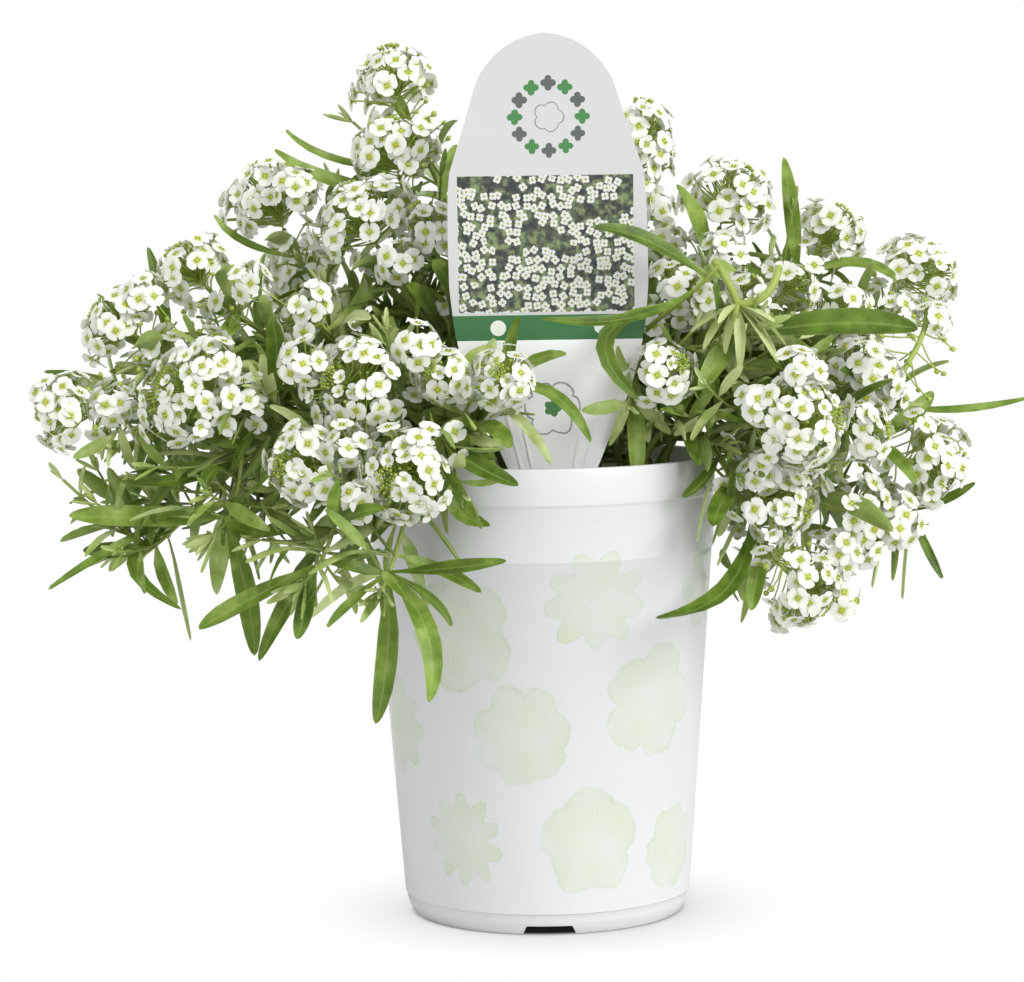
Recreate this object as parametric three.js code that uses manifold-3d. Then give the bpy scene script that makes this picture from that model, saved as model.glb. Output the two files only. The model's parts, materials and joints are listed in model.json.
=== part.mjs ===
// Sweet alyssum in a nursery pot: a bushy bedding plant with white flower heads, its soil, its pot and
// its label. Millimetres, +Z up, origin on the ground in the middle of the pot's foot. -Y is the front.
import * as THREE from 'three';
import { mergeVertices } from 'three/addons/utils/BufferGeometryUtils.js';
import Module from 'manifold-3d';

const wasm = await Module();
wasm.setup();

// Pot
const potHeight = 133.5;
const rimRadius = 50.4;
const rimBandHeight = 11;
const ledgeHeight = 107;
const ledgeRadius = 49.3;
const footRadius = 39.4;
const heelRadius = 41.7;
const heelHeight = 4.2;
const potWall = 1.4;
const footRingWidth = 2.8;
const floorUnderside = 3.2;
const floorThickness = 1.8;
const ledgeStep = 0.5;
const potFacets = 28;
const soilFacets = 16;
const footNotch = { count: 3, width: 13, flare: 1.5, height: 2.7 };
const drainHoles = { count: 3, radius: 3.5, ringRadius: 23 };

// Soil
const fit = 0.3;
const soilTop = 121;
const soilSwell = 1.3;

// Label
const tagY = -28;
const tagThickness = 1;
const tagLean = THREE.MathUtils.degToRad(-0.5);
const tagX = 3;
// half width at each height, from the crown down to the stake's point
const tagOutline = [
  [12.6, 250], [18.7, 243], [21.4, 234], [25.6, 221], [28.3, 213], [28, 166], [12.5, 132], [9, 121],
];
const tagTop = 254.5;
const tagCrown = 6;
const tagStakeTip = 97;

// Plant: leaves end inside halfWidth and halfDepth
const halfWidth = 147.5;
const halfDepth = 83;
const stem = { radius: 1.25, step: 17, sample: 1.6, seatGap: 0.4, straightEnd: 0.8, tries: 500 };
const stemHole = { depth: 10, radius: 2.6 };
const forks = [0.5, 0.6, 0.4, 0.7, 0.34, 0.8];
const rimLift = { below: 150, start: 30, end: 18 };
const leaf = { keel: 1.1, foot: 7, gap: 14, sample: 1.8, long: 27 };
const leafStalk = { sunk: 0.5, length: 3.6, half: 0.8 };
const clearance = { cell: 2.2, stemToPot: 2.2, stemToHead: 2.4, leafToPot: 1.6, leafToHead: 0.6 };
const goldenAngle = 2.39996;
const headTilt = { level: 137, perMm: 0.95, lowest: -38, highest: 80 };
// from the crown (angle 0) to the skirt; shares of the head's own size
const headShape = { crown: 0.34, skirt: 1.98, core: 0.64, petal: 0.97, notch: 0.83, bud: 0.9, foot: 0.72 };
const fullTurn = 2 * Math.PI;
const colours = { leaf: 0x4d7a2c, petal: 0xf4f4ee, pot: 0xf3f4f2, soil: 0x4a3a2c, tag: 0xdfe1e0 };

// Flower heads: centre x, y, z, width, height along its own axis, and the stem that carries it.
// The first head of each stem is the one that its main shoot ends in.
const headList = [
  [-42, 25, 244, 24, 22, 1], [-42, 14, 223, 25, 20, 1],
  [-79, 28, 209, 28, 26, 2], [-74, 62, 186, 24, 20, 2],
  [-51, 2, 203, 28, 24, 3], [-30, -5, 198, 14, 24, 3],
  [-101, 0, 189, 23, 18, 4], [-67, -12, 176, 20, 14, 4],
  [-122, -8, 174, 25, 18, 5],
  [-99, -36, 157, 38, 20, 6],
  [-136, -20, 149, 24, 18, 7],
  [-53, -46, 157, 30, 20, 8], [-28, -45, 160, 16, 14, 8], [-11, -50, 159, 17, 14, 8],
  [-67, -56, 136, 21, 17, 9],
  [-38, -64, 134, 26, 22, 10],
  [29, 12, 222, 21, 32, 11], [0, 62, 206, 24, 20, 11],
  [57, 16, 207, 24, 24, 12], [59, -2, 180, 15, 12, 12],
  [87, 26, 197, 21, 18, 13],
  [113, 22, 185, 24, 20, 14], [95, 4, 157, 24, 20, 14],
  [41, -16, 181, 21, 18, 15], [35, -37, 160, 18, 15, 15],
  [74, 2, 182, 18, 12, 16], [72, -46, 145, 27, 26, 16],
  [112, -12, 131, 26, 22, 17], [92, -30, 141, 17, 14, 17],
  [66, -34, 122, 25, 22, 18], [92, -18, 114, 25, 20, 18], [75, -27, 96, 26, 18, 18],
  [60, 66, 168, 25, 20, 19], [102, 50, 150, 22, 18, 19],
  [-105, 46, 150, 24, 18, 20], [-40, 74, 152, 24, 20, 20],
];
// Where each stem leaves the soil, and the tips of its leafy shoots that bear no flowers.
const stemList = [
  { root: [-10, 12], shoots: [] },
  { root: [-20, 14], shoots: [[-62, 40, 168]] },
  { root: [-9, -4], shoots: [[-30, 14, 176]] },
  { root: [-25, 4], shoots: [[-84, 8, 166]] },
  { root: [-31, -4], shoots: [[-112, 20, 146]] },
  { root: [-25, -13], shoots: [[-118, -24, 106]] },
  { root: [-35, -12], shoots: [[-92, -40, 116]] },
  { root: [-16, -21], shoots: [] },
  { root: [-22, -28], shoots: [[-66, -58, 104]] },
  { root: [-13, -35], shoots: [[-45, -64, 102]] },
  { root: [4, 12], shoots: [[14, 34, 186]] },
  { root: [14, 6], shoots: [[46, 34, 168]] },
  { root: [22, 14], shoots: [[84, 42, 168]] },
  { root: [30, 4], shoots: [[122, 34, 140]] },
  { root: [14, -8], shoots: [[58, -34, 170], [50, -38, 189]] },
  { root: [22, -5], shoots: [[86, -6, 150]] },
  { root: [33, -8], shoots: [[112, -4, 112]] },
  { root: [27, -17], shoots: [[50, -30, 138]] },
  { root: [14, 27], shoots: [[30, 74, 142], [84, 66, 122]] },
  { root: [-16, 27], shoots: [[-78, 70, 128], [-8, 76, 138]] },
];
// Single leaves that shape the outline: where the blade leaves its stem, its middle, its tip, its width.
const leafList = [
  [-94, -30, 116, -114, -32, 119, -134, -34, 121, 7],
  [-93, -28, 111, -118, -29, 104, -140, -30, 97, 2.5],
  [-90, -32, 112, -111, -36, 105, -103, -40, 94, 3.5],
  [-74, -50, 112, -87, -53, 100, -96, -56, 91, 5.5],
  [-68, -52, 98, -77, -55, 88, -84, -58, 75, 5],
  [-77, -44, 109, -79, -44, 95, -82, -44, 82, 5.5],
  [-62, -58, 105, -68, -60, 96, -71, -62, 89, 4.5],
  [-52, -60, 103, -57, -62, 97, -60, -64, 92, 2.5],
  [-44, -66, 103, -44, -68, 83, -47, -70, 66, 5.5],
  [-40, -66, 103, -33, -69, 89, -34, -72, 72, 5.5],
  [56, -40, 117, 49, -51, 99, 30, -62, 93, 5.5],
  [52, -44, 133, 51, -50, 124, 49, -56, 117, 5.5],
  [58, -38, 110, 58, -38, 100, 58, -38, 92, 4.5],
  [100, -18, 107, 108, -16, 102, 115, -14, 97, 2.5],
  [107, 10, 140, 125, 20, 142, 147, 30, 147, 2.5],
  [102, 0, 139, 109, 3, 143, 115, 6, 150, 5],
  [66, -30, 175, 87, -32, 175, 106, -34, 170, 8],
  [66, 12, 196, 70, 11, 207, 72, 10, 219, 4.5],
  [51, 6, 192, 47, 4, 203, 39, 2, 215, 6.5],
  [42, -34, 193, 29, -38, 199, 15, -42, 200, 5],
  [91, 18, 189, 101, 16, 188, 108, 14, 180, 4],
  [-61, 10, 211, -69, 8, 215, -75, 6, 223, 4.5],
  [-54, 10, 220, -65, 12, 222, -72, 14, 230, 2.5],
  [-103, 4, 187, -109, 5, 191, -115, 6, 198, 3.5],
  [-121, 10, 155, -133, 14, 158, -147, 18, 159, 3],
  [-29, -18, 165, -32, -20, 176, -38, -22, 184, 8],
  [-27, -12, 168, -28, -13, 178, -33, -14, 188, 7],
  [39, -40, 170, 18, -44, 166, 27, -48, 152, 4.5],
  [-16, -52, 152, -1, -55, 154, 11, -58, 142, 3.5],
  [-71, -38, 153, -72, -41, 166, -75, -44, 177, 5],
  [-17, -46, 168, -15, -48, 174, -10, -50, 180, 3.5],
  [44, -38, 173, 22, -42, 173, -2, -46, 178, 3.5],
  [-24, -58, 143, -17, -60, 136, -7, -62, 130, 5.5],
  [-26, -60, 129, -18, -62, 123, -11, -64, 122, 5],
  [-17, -54, 150, -12, -56, 146, -9, -58, 140, 5],
  [-40, -66, 106, -29, -70, 106, -16, -74, 109, 4],
  [-40, -66, 104, -32, -70, 100, -21, -74, 97, 3.5],
  [-32, -64, 105, -27, -65, 99, -26, -66, 92, 2.5],
  [-83, -14, 180, -87, -17, 173, -97, -20, 167, 4.5],
  [-69, -10, 177, -60, -9, 183, -56, -8, 188, 4],
  [-41, -24, 170, -51, -29, 168, -59, -34, 166, 4],
  [-110, -34, 148, -99, -36, 139, -85, -38, 140, 4.5],
  [-93, -36, 145, -105, -38, 134, -119, -40, 131, 4],
  [-80, -44, 134, -89, -47, 136, -94, -50, 129, 4.5],
  [-59, -58, 115, -53, -60, 121, -42, -62, 125, 5],
  [-95, -44, 124, -85, -47, 117, -71, -50, 116, 5.5],
  [55, -32, 168, 50, -36, 162, 44, -40, 154, 5.5],
  [62, -34, 166, 44, -38, 151, 41, -42, 152, 6.5],
  [91, -24, 160, 82, -27, 161, 73, -30, 166, 3.5],
  [104, -22, 134, 106, -24, 128, 107, -26, 123, 4],
  [105, -10, 143, 94, -18, 154, 83, -26, 157, 4],
  [-88, 22, 199, -94, 22, 200, -96, 22, 205, 2.5],
  [120, -14, 124, 122, -15, 123, 124, -16, 125, 3],
];

const vec = (x, y, z) => new THREE.Vector3(x, y, z);
const up = vec(0, 0, 1);

// A small repeatable source of numbers between 0 and 1.
class Draws {
  constructor(seed) {
    this.state = seed;
  }
  next() {
    this.state = (this.state * 16807) % 2147483647;
    return this.state / 2147483647;
  }
  spread(amount) {
    return (this.next() * 2 - 1) * amount;
  }
}

function geometryOf(points, faces) {
  const geometry = new THREE.BufferGeometry().setFromPoints(points);
  geometry.setIndex(faces.flat());
  return geometry;
}

function solidOf(geometry) {
  const bare = geometry.clone();
  bare.deleteAttribute('normal');
  bare.deleteAttribute('uv');
  const merged = mergeVertices(bare, 1e-3);
  return new wasm.Manifold(new wasm.Mesh({
    numProp: 3,
    vertProperties: new Float32Array(merged.attributes.position.array),
    triVerts: new Uint32Array(merged.index.array),
  }));
}

function geometryFrom(solid) {
  const mesh = solid.getMesh();
  const geometry = new THREE.BufferGeometry();
  geometry.setAttribute('position', new THREE.BufferAttribute(mesh.vertProperties, 3));
  geometry.setIndex(new THREE.BufferAttribute(mesh.triVerts, 1));
  return geometry;
}

const plant = new THREE.Group();

function addPiece(name, geometry, colour, roughness) {
  const facets = geometry.toNonIndexed();
  facets.computeVertexNormals();
  const material = new THREE.MeshStandardMaterial({ color: colour, roughness, metalness: 0 });
  const piece = new THREE.Mesh(facets, material);
  piece.name = name;
  plant.add(piece);
}

// ---- Pot and soil

function wallRadius(z) {
  if (z >= potHeight - rimBandHeight) return rimRadius;
  if (z >= ledgeHeight) return ledgeRadius + ledgeStep;
  return THREE.MathUtils.lerp(heelRadius, ledgeRadius, (z - heelHeight) / (ledgeHeight - heelHeight));
}

function turned(profile, facets) {
  const points = profile.map(([r, z]) => new THREE.Vector2(r, z));
  const geometry = new THREE.LatheGeometry(points, facets);
  return geometry.rotateX(Math.PI / 2);
}

function potSolid() {
  const bandFoot = potHeight - rimBandHeight;
  const floorTop = floorUnderside + floorThickness;
  const body = solidOf(turned([
    [0, floorUnderside], [footRadius - footRingWidth - 1, floorUnderside],
    [footRadius - footRingWidth, 0], [footRadius, 0], [heelRadius, heelHeight],
    [ledgeRadius, ledgeHeight - ledgeStep], [ledgeRadius + ledgeStep, ledgeHeight],
    [ledgeRadius + ledgeStep + 0.1, bandFoot], [rimRadius, bandFoot + ledgeStep],
    [rimRadius - 0.1, potHeight], [rimRadius - potWall - 0.4, potHeight],
    [ledgeRadius - potWall, ledgeHeight], [heelRadius - potWall, floorTop], [0, floorTop],
  ], potFacets));
  const cuts = [];
  for (let i = 0; i < footNotch.count; i += 1) {
    const half = footNotch.width / 2;
    const mouth = new THREE.Shape([
      new THREE.Vector2(-half - footNotch.flare, -1), new THREE.Vector2(half + footNotch.flare, -1),
      new THREE.Vector2(half, footNotch.height), new THREE.Vector2(-half, footNotch.height),
    ]);
    const notch = new THREE.ExtrudeGeometry(mouth, { depth: 12, bevelEnabled: false });
    notch.rotateX(Math.PI / 2).translate(0, -footRadius + 7, 0).rotateZ((i * fullTurn) / footNotch.count);
    cuts.push(solidOf(notch));
  }
  for (let i = 0; i < drainHoles.count; i += 1) {
    const hole = new THREE.CylinderGeometry(drainHoles.radius, drainHoles.radius, 8, 6);
    hole.rotateX(Math.PI / 2).translate(drainHoles.ringRadius, 0, floorTop - 2);
    hole.rotateZ(Math.PI / 4 + (i * fullTurn) / drainHoles.count);
    cuts.push(solidOf(hole));
  }
  return cuts.reduce((solid, cut) => solid.subtract(cut), body);
}

// The soil fills the pot up to about 12 mm under the brim, a little higher in the middle.
function soilSolid() {
  const foot = floorUnderside + floorThickness + fit;
  const sideRadius = (z) => THREE.MathUtils.lerp(heelRadius, ledgeRadius, (z - foot) / (ledgeHeight - foot));
  const edge = sideRadius(foot) - potWall - 2 * fit;
  const brim = ledgeRadius - potWall - 2 * fit;
  const profile = [[0, foot], [edge, foot], [brim, ledgeHeight], [brim, soilTop - soilSwell], [0, soilTop]];
  return solidOf(turned(profile, soilFacets));
}

// ---- Label

function tagHalfWidth(z) {
  const last = tagOutline[tagOutline.length - 1];
  if (z >= tagTop || z < tagStakeTip) return 0;
  if (z <= last[1]) return last[0];
  const next = Math.max(1, tagOutline.findIndex(([, height]) => height <= z));
  const [lowHalf, lowZ] = tagOutline[next];
  const [highHalf, highZ] = tagOutline[next - 1];
  return THREE.MathUtils.lerp(highHalf, lowHalf, (Math.min(z, highZ) - highZ) / (lowZ - highZ));
}

// The label's plate and stake, or with a swell the slot that the stake stands in.
function tagSolid(swell) {
  const right = tagOutline.map(([half, z]) => new THREE.Vector2(half + swell, z));
  const left = right.map((p) => new THREE.Vector2(-p.x, p.y)).reverse();
  const crown = [-tagCrown, 0, tagCrown].map((x) => new THREE.Vector2(x, tagTop - Math.abs(x) / 6));
  const stake = new THREE.Vector2(0, tagStakeTip - 3 * swell);
  const depth = tagThickness + 2 * swell;
  const outline = new THREE.Shape([...crown, ...right, stake, ...left]);
  const geometry = new THREE.ExtrudeGeometry(outline, { depth, bevelEnabled: false });
  geometry.rotateX(Math.PI / 2).translate(0, depth / 2, -soilTop).rotateY(tagLean);
  return solidOf(geometry.translate(tagX, tagY, soilTop));
}

// ---- Space that is already taken

class Space {
  constructor() {
    this.cells = new Map();
  }
  cell(p) {
    return [p.x, p.y, p.z].map((v) => Math.floor(v / clearance.cell) + 200);
  }
  claim(points, owner) {
    for (const p of points) {
      const [i, j, k] = this.cell(p);
      const key = i * 1e6 + j * 1e3 + k;
      if (!this.cells.has(key)) this.cells.set(key, owner);
    }
  }
  // True where no other owner holds this cell or one of its neighbours.
  isFree(p, owner) {
    const [i, j, k] = this.cell(p);
    for (let near = 0; near < 27; near += 1) {
      const [a, b, c] = [near % 3, Math.floor(near / 3) % 3, Math.floor(near / 9)];
      const other = this.cells.get((i + a - 1) * 1e6 + (j + b - 1) * 1e3 + k + c - 1);
      if (other !== undefined && other !== owner) return false;
    }
    return true;
  }
}

const space = new Space();
const nobody = -1;

// Clear of the pot's wall, the soil and the label.
function clearOfPot(p, margin) {
  const r = Math.hypot(p.x, p.y);
  if (p.z < potHeight + margin) {
    const outside = r > wallRadius(Math.max(p.z, heelHeight)) + margin;
    const inside = r < ledgeRadius - potWall - margin && p.z > soilTop + margin;
    if (!outside && !inside) return false;
  }
  const across = Math.abs(p.x - tagX - (p.z - soilTop) * Math.tan(tagLean));
  return Math.abs(p.y - tagY) > margin + tagThickness / 2 || across > tagHalfWidth(p.z - 1) + margin;
}

// ---- Heads

// Low heads lean outwards, and the highest ones stand nearly upright.
function headAxis(centre) {
  const slope = (centre.z - headTilt.level) * headTilt.perMm;
  const rise = THREE.MathUtils.degToRad(THREE.MathUtils.clamp(slope, headTilt.lowest, headTilt.highest));
  const out = Math.hypot(centre.x, centre.y);
  return vec((centre.x / out) * Math.cos(rise), (centre.y / out) * Math.cos(rise), Math.sin(rise));
}

// a is a head's half width, b its half height, and foot the point under it where its stem ends.
const heads = headList.map(([x, y, z, wide, tall, owner]) => {
  const centre = vec(x, y, z);
  const axis = headAxis(centre);
  const foot = centre.clone().addScaledVector(axis, (-tall / 2) * headShape.foot - stem.seatGap);
  return { centre, axis, a: wide / 2, b: tall / 2, owner: owner - 1, foot };
});

function insideHead(p, head, margin) {
  const off = p.clone().sub(head.centre);
  const along = off.dot(head.axis);
  const across = Math.sqrt(Math.max(0, off.lengthSq() - along * along));
  return (along / (head.b + margin)) ** 2 + (across / (head.a + margin)) ** 2 < 1;
}

// ---- Stems

// A curve that is stepped by its own parameter, so that leaves know where the tube's rings are.
class StemCurve extends THREE.CubicBezierCurve3 {
  getUtoTmapping(u) {
    return u;
  }
}

// A point on the tube's middle line, which runs straight from ring to ring.
function chordPoint(branch, t) {
  const place = Math.min(t, 0.9999) * branch.steps;
  const ring = Math.floor(place);
  const from = branch.curve.getPoint(ring / branch.steps);
  return from.lerp(branch.curve.getPoint((ring + 1) / branch.steps), place - ring);
}

function branchSamples(branch) {
  const count = Math.ceil(branch.length / stem.sample);
  return Array.from({ length: count + 1 }, (_, i) => chordPoint(branch, i / count));
}

function branchIsClear(branch, samples) {
  return samples.every((p, i) => {
    const aside = Math.hypot(p.x - samples[0].x, p.y - samples[0].y);
    const inHole = branch.leads && aside < stemHole.radius * 1.5;
    const atHead = i > (samples.length - 1) * 0.8;
    return space.isFree(p, branch.owner) && (inHole || clearOfPot(p, clearance.stemToPot))
      && heads.every((head) => (head === branch.head && atHead) || !insideHead(p, head, clearance.stemToHead));
  });
}

// Tries the plain curve first, then bends it by growing seeded draws until it is clear of the rest.
function routeBranch({ start, heading, end, axis, owner, head, leads }) {
  const reach = start.distanceTo(end);
  const overRim = leads && end.z < rimLift.below;
  const firstArm = reach * 0.42 + (overRim ? rimLift.start : 0);
  for (let attempt = 0; attempt < stem.tries; attempt += 1) {
    const swing = Math.min(attempt * 0.12, 34);
    const sway = leads ? swing * 0.25 : swing;
    const p1 = start.clone().addScaledVector(heading, firstArm);
    p1.add(vec(draws.spread(sway), draws.spread(sway), leads ? draws.next() * swing : draws.spread(sway)));
    const p2 = end.clone().addScaledVector(axis, -reach * 0.32);
    p2.add(vec(draws.spread(swing), draws.spread(swing), draws.spread(swing) + (overRim ? rimLift.end : 0)));
    if (end.clone().sub(p2).normalize().dot(axis) < stem.straightEnd) continue;
    const curve = new StemCurve(start, p1, p2, end);
    const length = curve.getLength();
    const branch = { curve, length, steps: Math.max(3, Math.round(length / stem.step)), owner, head, leads };
    const samples = branchSamples(branch);
    if (branchIsClear(branch, samples)) {
      space.claim(samples, owner);
      return branch;
    }
  }
  return null;
}

const draws = new Draws(20177);

// Each stem's main shoot runs from its root to its first head.
const leaders = stemList.map(({ root }, owner) => {
  const head = heads.find((each) => each.owner === owner);
  const start = vec(root[0], root[1], soilTop - stemHole.depth + fit);
  return routeBranch({ start, heading: up, end: head.foot, axis: head.axis, owner, head, leads: true });
});
const branches = [...leaders];

function forkBranch(owner, end, axis, head) {
  const leader = leaders[owner];
  for (const t of forks) {
    const start = chordPoint(leader, t);
    const branch = routeBranch({ start, heading: leader.curve.getTangent(t), end, axis, owner, head });
    if (branch) {
      branches.push(branch);
      return;
    }
  }
}

heads.filter((head) => !leaders.some((leader) => leader.head === head)).forEach((head) => {
  forkBranch(head.owner, head.foot, head.axis, head);
});
stemList.forEach(({ shoots }, owner) => {
  shoots.map((tip) => vec(...tip)).forEach((tip) => forkBranch(owner, tip, headAxis(tip)));
});

// ---- Leaves

// A blade is narrow at its stalk, widest past its middle, and pointed.
const bladeShare = (s) => Math.sin(Math.PI * Math.min(1, 0.1 + 0.9 * s)) ** 0.6;

function bladeSamples({ curve, side, width, length }) {
  const along = Math.ceil(length / leaf.sample);
  return Array.from({ length: along }, (_, i) => (i + 1) / along).flatMap((s) => {
    const half = (width / 2) * bladeShare(s);
    const across = Math.ceil(half / leaf.sample) || 1;
    return Array.from({ length: 2 * across + 1 }, (_, j) => ({
      from: s * length,
      at: curve.getPoint(s).addScaledVector(side, (j / across - 1) * half),
    }));
  });
}

// Near its foot a leaf may touch its own stem; further out it touches nothing.
function bladeIsClear(samples, owner) {
  return samples.every(({ at, from }) => space.isFree(at, from > leaf.foot ? nobody : owner)
    && (from < 1 || clearOfPot(at, clearance.leafToPot))
    && Math.abs(at.x) < halfWidth && Math.abs(at.y) < halfDepth
    && !heads.some((head) => insideHead(at, head, clearance.leafToHead)));
}

const leaves = [];

// The blade's upper side looks towards face, and its middle line passes through middle.
function tryLeaf(branch, t, middle, tip, width, face) {
  const root = chordPoint(branch, t);
  const pull = middle.clone().multiplyScalar(2).sub(root.clone().add(tip).multiplyScalar(0.5));
  const blade = {
    owner: branch.owner,
    root,
    curve: new THREE.QuadraticBezierCurve3(root, pull, tip),
    side: tip.clone().sub(root).normalize().cross(face).normalize(),
    width,
    length: root.distanceTo(middle) + middle.distanceTo(tip),
  };
  const samples = bladeSamples(blade);
  if (!bladeIsClear(samples, blade.owner)) return false;
  space.claim(samples.map(({ at }) => at), blade.owner);
  leaves.push(blade);
  return true;
}

const outlook = vec(0, -0.75, 0.66);
const rootPlaces = [0.2, 0.3, 0.4, 0.5, 0.6, 0.7, 0.8, 0.9];
const leafTries = 12;

// A listed leaf grows from the nearest stem that lets it through, bent a little where it has to be.
leafList.forEach(([rx, ry, rz, mx, my, mz, tx, ty, tz, width]) => {
  const wanted = vec(rx, ry, rz);
  const places = branches.flatMap((branch) => rootPlaces.map((t) => {
    const shift = chordPoint(branch, t).sub(wanted);
    return { branch, t, shift, far: Math.hypot(shift.x, shift.y * 0.6, shift.z) };
  })).sort((one, two) => one.far - two.far).slice(0, leafTries);
  for (let attempt = 0; attempt < places.length * leafTries; attempt += 1) {
    const { branch, t, shift } = places[Math.floor(attempt / leafTries)];
    const swing = (attempt % leafTries) * 0.6;
    const bend = vec(draws.spread(swing), draws.spread(swing * 2), draws.spread(swing));
    const middle = vec(mx, my, mz).addScaledVector(shift, 0.4).add(bend);
    if (tryLeaf(branch, t, middle, vec(tx, ty, tz).add(bend), width, outlook)) return;
  }
});

// The others stand round every branch by the golden angle, each turned until it is clear.
branches.forEach((branch) => {
  const first = branch.leads ? 0.3 : 0.15;
  const last = 0.96;
  const count = Math.floor((branch.length * (last - first)) / leaf.gap);
  for (let i = 0; i < count; i += 1) {
    const t = first + ((last - first) * (i + 0.5)) / count;
    const root = chordPoint(branch, t);
    const along = branch.curve.getTangent(t);
    const flat = along.clone().cross(Math.abs(along.z) > 0.9 ? vec(1, 0, 0) : up).normalize();
    const length = 20 + draws.next() * 13;
    const width = 3.6 + draws.next() * 2;
    const angle = i * goldenAngle + draws.spread(0.4);
    for (let attempt = 0; attempt < 10; attempt += 1) {
      const out = flat.clone().applyAxisAngle(along, angle + attempt * 0.7);
      const heading = along.clone().multiplyScalar(0.55).add(out).normalize();
      const size = length * (attempt > 5 ? 0.7 : 1);
      const middle = root.clone().addScaledVector(heading, size * 0.5).add(vec(0, 0, 1.5));
      const tip = root.clone().addScaledVector(heading, size).add(vec(0, 0, -size * 0.12));
      if (tryLeaf(branch, t, middle, tip, width, along)) break;
    }
  }
});

// A three-sided blade: two edges and a keel. It starts at a point inside its stem, and ends in a point.
function bladeGeometry({ root, curve, side, width, length }) {
  const heading = curve.getTangent(0);
  const points = [root.clone().addScaledVector(heading, -leafStalk.sunk)];
  const ring = (s, half, keel) => {
    const centre = curve.getPoint(s);
    const under = side.clone().cross(curve.getTangent(s)).normalize();
    points.push(centre.clone().addScaledVector(side, half), centre.clone().addScaledVector(side, -half),
      centre.clone().addScaledVector(under, keel));
  };
  ring(leafStalk.length / length, leafStalk.half, leafStalk.half);
  const stops = length > leaf.long ? [0.38, 0.76] : [0.52];
  stops.forEach((s) => ring(s, (width / 2) * bladeShare(s), leaf.keel));
  points.push(curve.getPoint(1));
  const tip = points.length - 1;
  const faces = [];
  for (let j = 0; j < 3; j += 1) {
    const next = (j + 1) % 3;
    faces.push([0, 1 + j, 1 + next], [tip - 3 + next, tip - 3 + j, tip]);
    for (let a = 1; a + 3 < tip; a += 3) {
      faces.push([a + next, a + j, a + 3 + j], [a + next, a + 3 + j, a + 3 + next]);
    }
  }
  return outward(geometryOf(points, faces));
}

function outward(geometry) {
  const place = geometry.attributes.position;
  const index = geometry.index.array;
  const corner = (i) => vec(place.getX(index[i]), place.getY(index[i]), place.getZ(index[i]));
  let volume = 0;
  for (let i = 0; i < index.length; i += 3) volume += corner(i).dot(corner(i + 1).cross(corner(i + 2)));
  if (volume < 0) for (let i = 0; i < index.length; i += 3) [index[i], index[i + 1]] = [index[i + 1], index[i]];
  return geometry;
}

function stemTube({ curve, steps }) {
  const corner = new THREE.Vector2(stem.radius, 0);
  const turns = [0, 1, 2].map((k) => (k * fullTurn) / 3);
  const section = new THREE.Shape(turns.map((turn) => corner.clone().rotateAround(new THREE.Vector2(), turn)));
  return new THREE.ExtrudeGeometry(section, { steps, bevelEnabled: false, extrudePath: curve });
}

// A plain square hole round the first stretch of a stem.
function holeSolid({ curve, steps }) {
  const foot = curve.getPoint(0);
  const along = curve.getPoint(1 / steps).sub(foot).normalize();
  const depth = stemHole.depth + 6;
  const hole = new THREE.CylinderGeometry(stemHole.radius, stemHole.radius, depth, 4);
  hole.translate(0, depth / 2 - 2 * fit, 0);
  hole.applyQuaternion(new THREE.Quaternion().setFromUnitVectors(vec(0, 1, 0), along));
  return solidOf(hole.translate(foot.x, foot.y, foot.z));
}

// ---- Flower heads

// Florets in each ring of a head, from the crown down.
function floretRings(head) {
  if (head.a > 17) return [6, 11];
  if (head.b > head.a * 1.25) return head.a < 9 ? [3, 5, 5] : [4, 6, 7];
  if (head.a >= 12.8) return [5, 8];
  return head.a >= 9.5 ? [4, 7] : [3, 5];
}

const gcd = (a, b) => (b ? gcd(b, a % b) : a);

// Four petals with notches between them, raised over one cell of the core.
function floretRim(outline, draws) {
  const reach = (angle) => {
    let near = Infinity;
    outline.forEach((p, i) => {
      const q = outline[(i + 1) % outline.length];
      const [dx, dy] = [Math.cos(angle), Math.sin(angle)];
      const [ex, ey] = [q.x - p.x, q.y - p.y];
      const cross = dx * ey - dy * ex;
      if (Math.abs(cross) < 1e-9) return;
      const far = (p.x * ey - p.y * ex) / cross;
      const along = (p.x * dy - p.y * dx) / cross;
      if (far > 0 && along >= -1e-9 && along <= 1 + 1e-9) near = Math.min(near, far);
    });
    return near;
  };
  const turn = draws.next() * Math.PI;
  const petals = [0, 1, 2, 3].map((k) => turn + (k * Math.PI) / 2);
  const mean = petals.reduce((sum, angle) => sum + reach(angle), 0) / 4;
  return petals.flatMap((angle) => {
    const notch = angle + Math.PI / 4;
    return [{ angle, far: Math.min(reach(angle) * 0.86, mean * 1.1), share: headShape.petal + draws.spread(0.03) },
      { angle: notch, far: Math.min(reach(notch) * 0.8, mean * 0.55), share: headShape.notch }];
  }).sort((one, two) => one.angle - two.angle);
}

function direction(polar, around) {
  const across = Math.sin(polar);
  return vec(across * Math.cos(around), across * Math.sin(around), Math.cos(polar));
}

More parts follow.
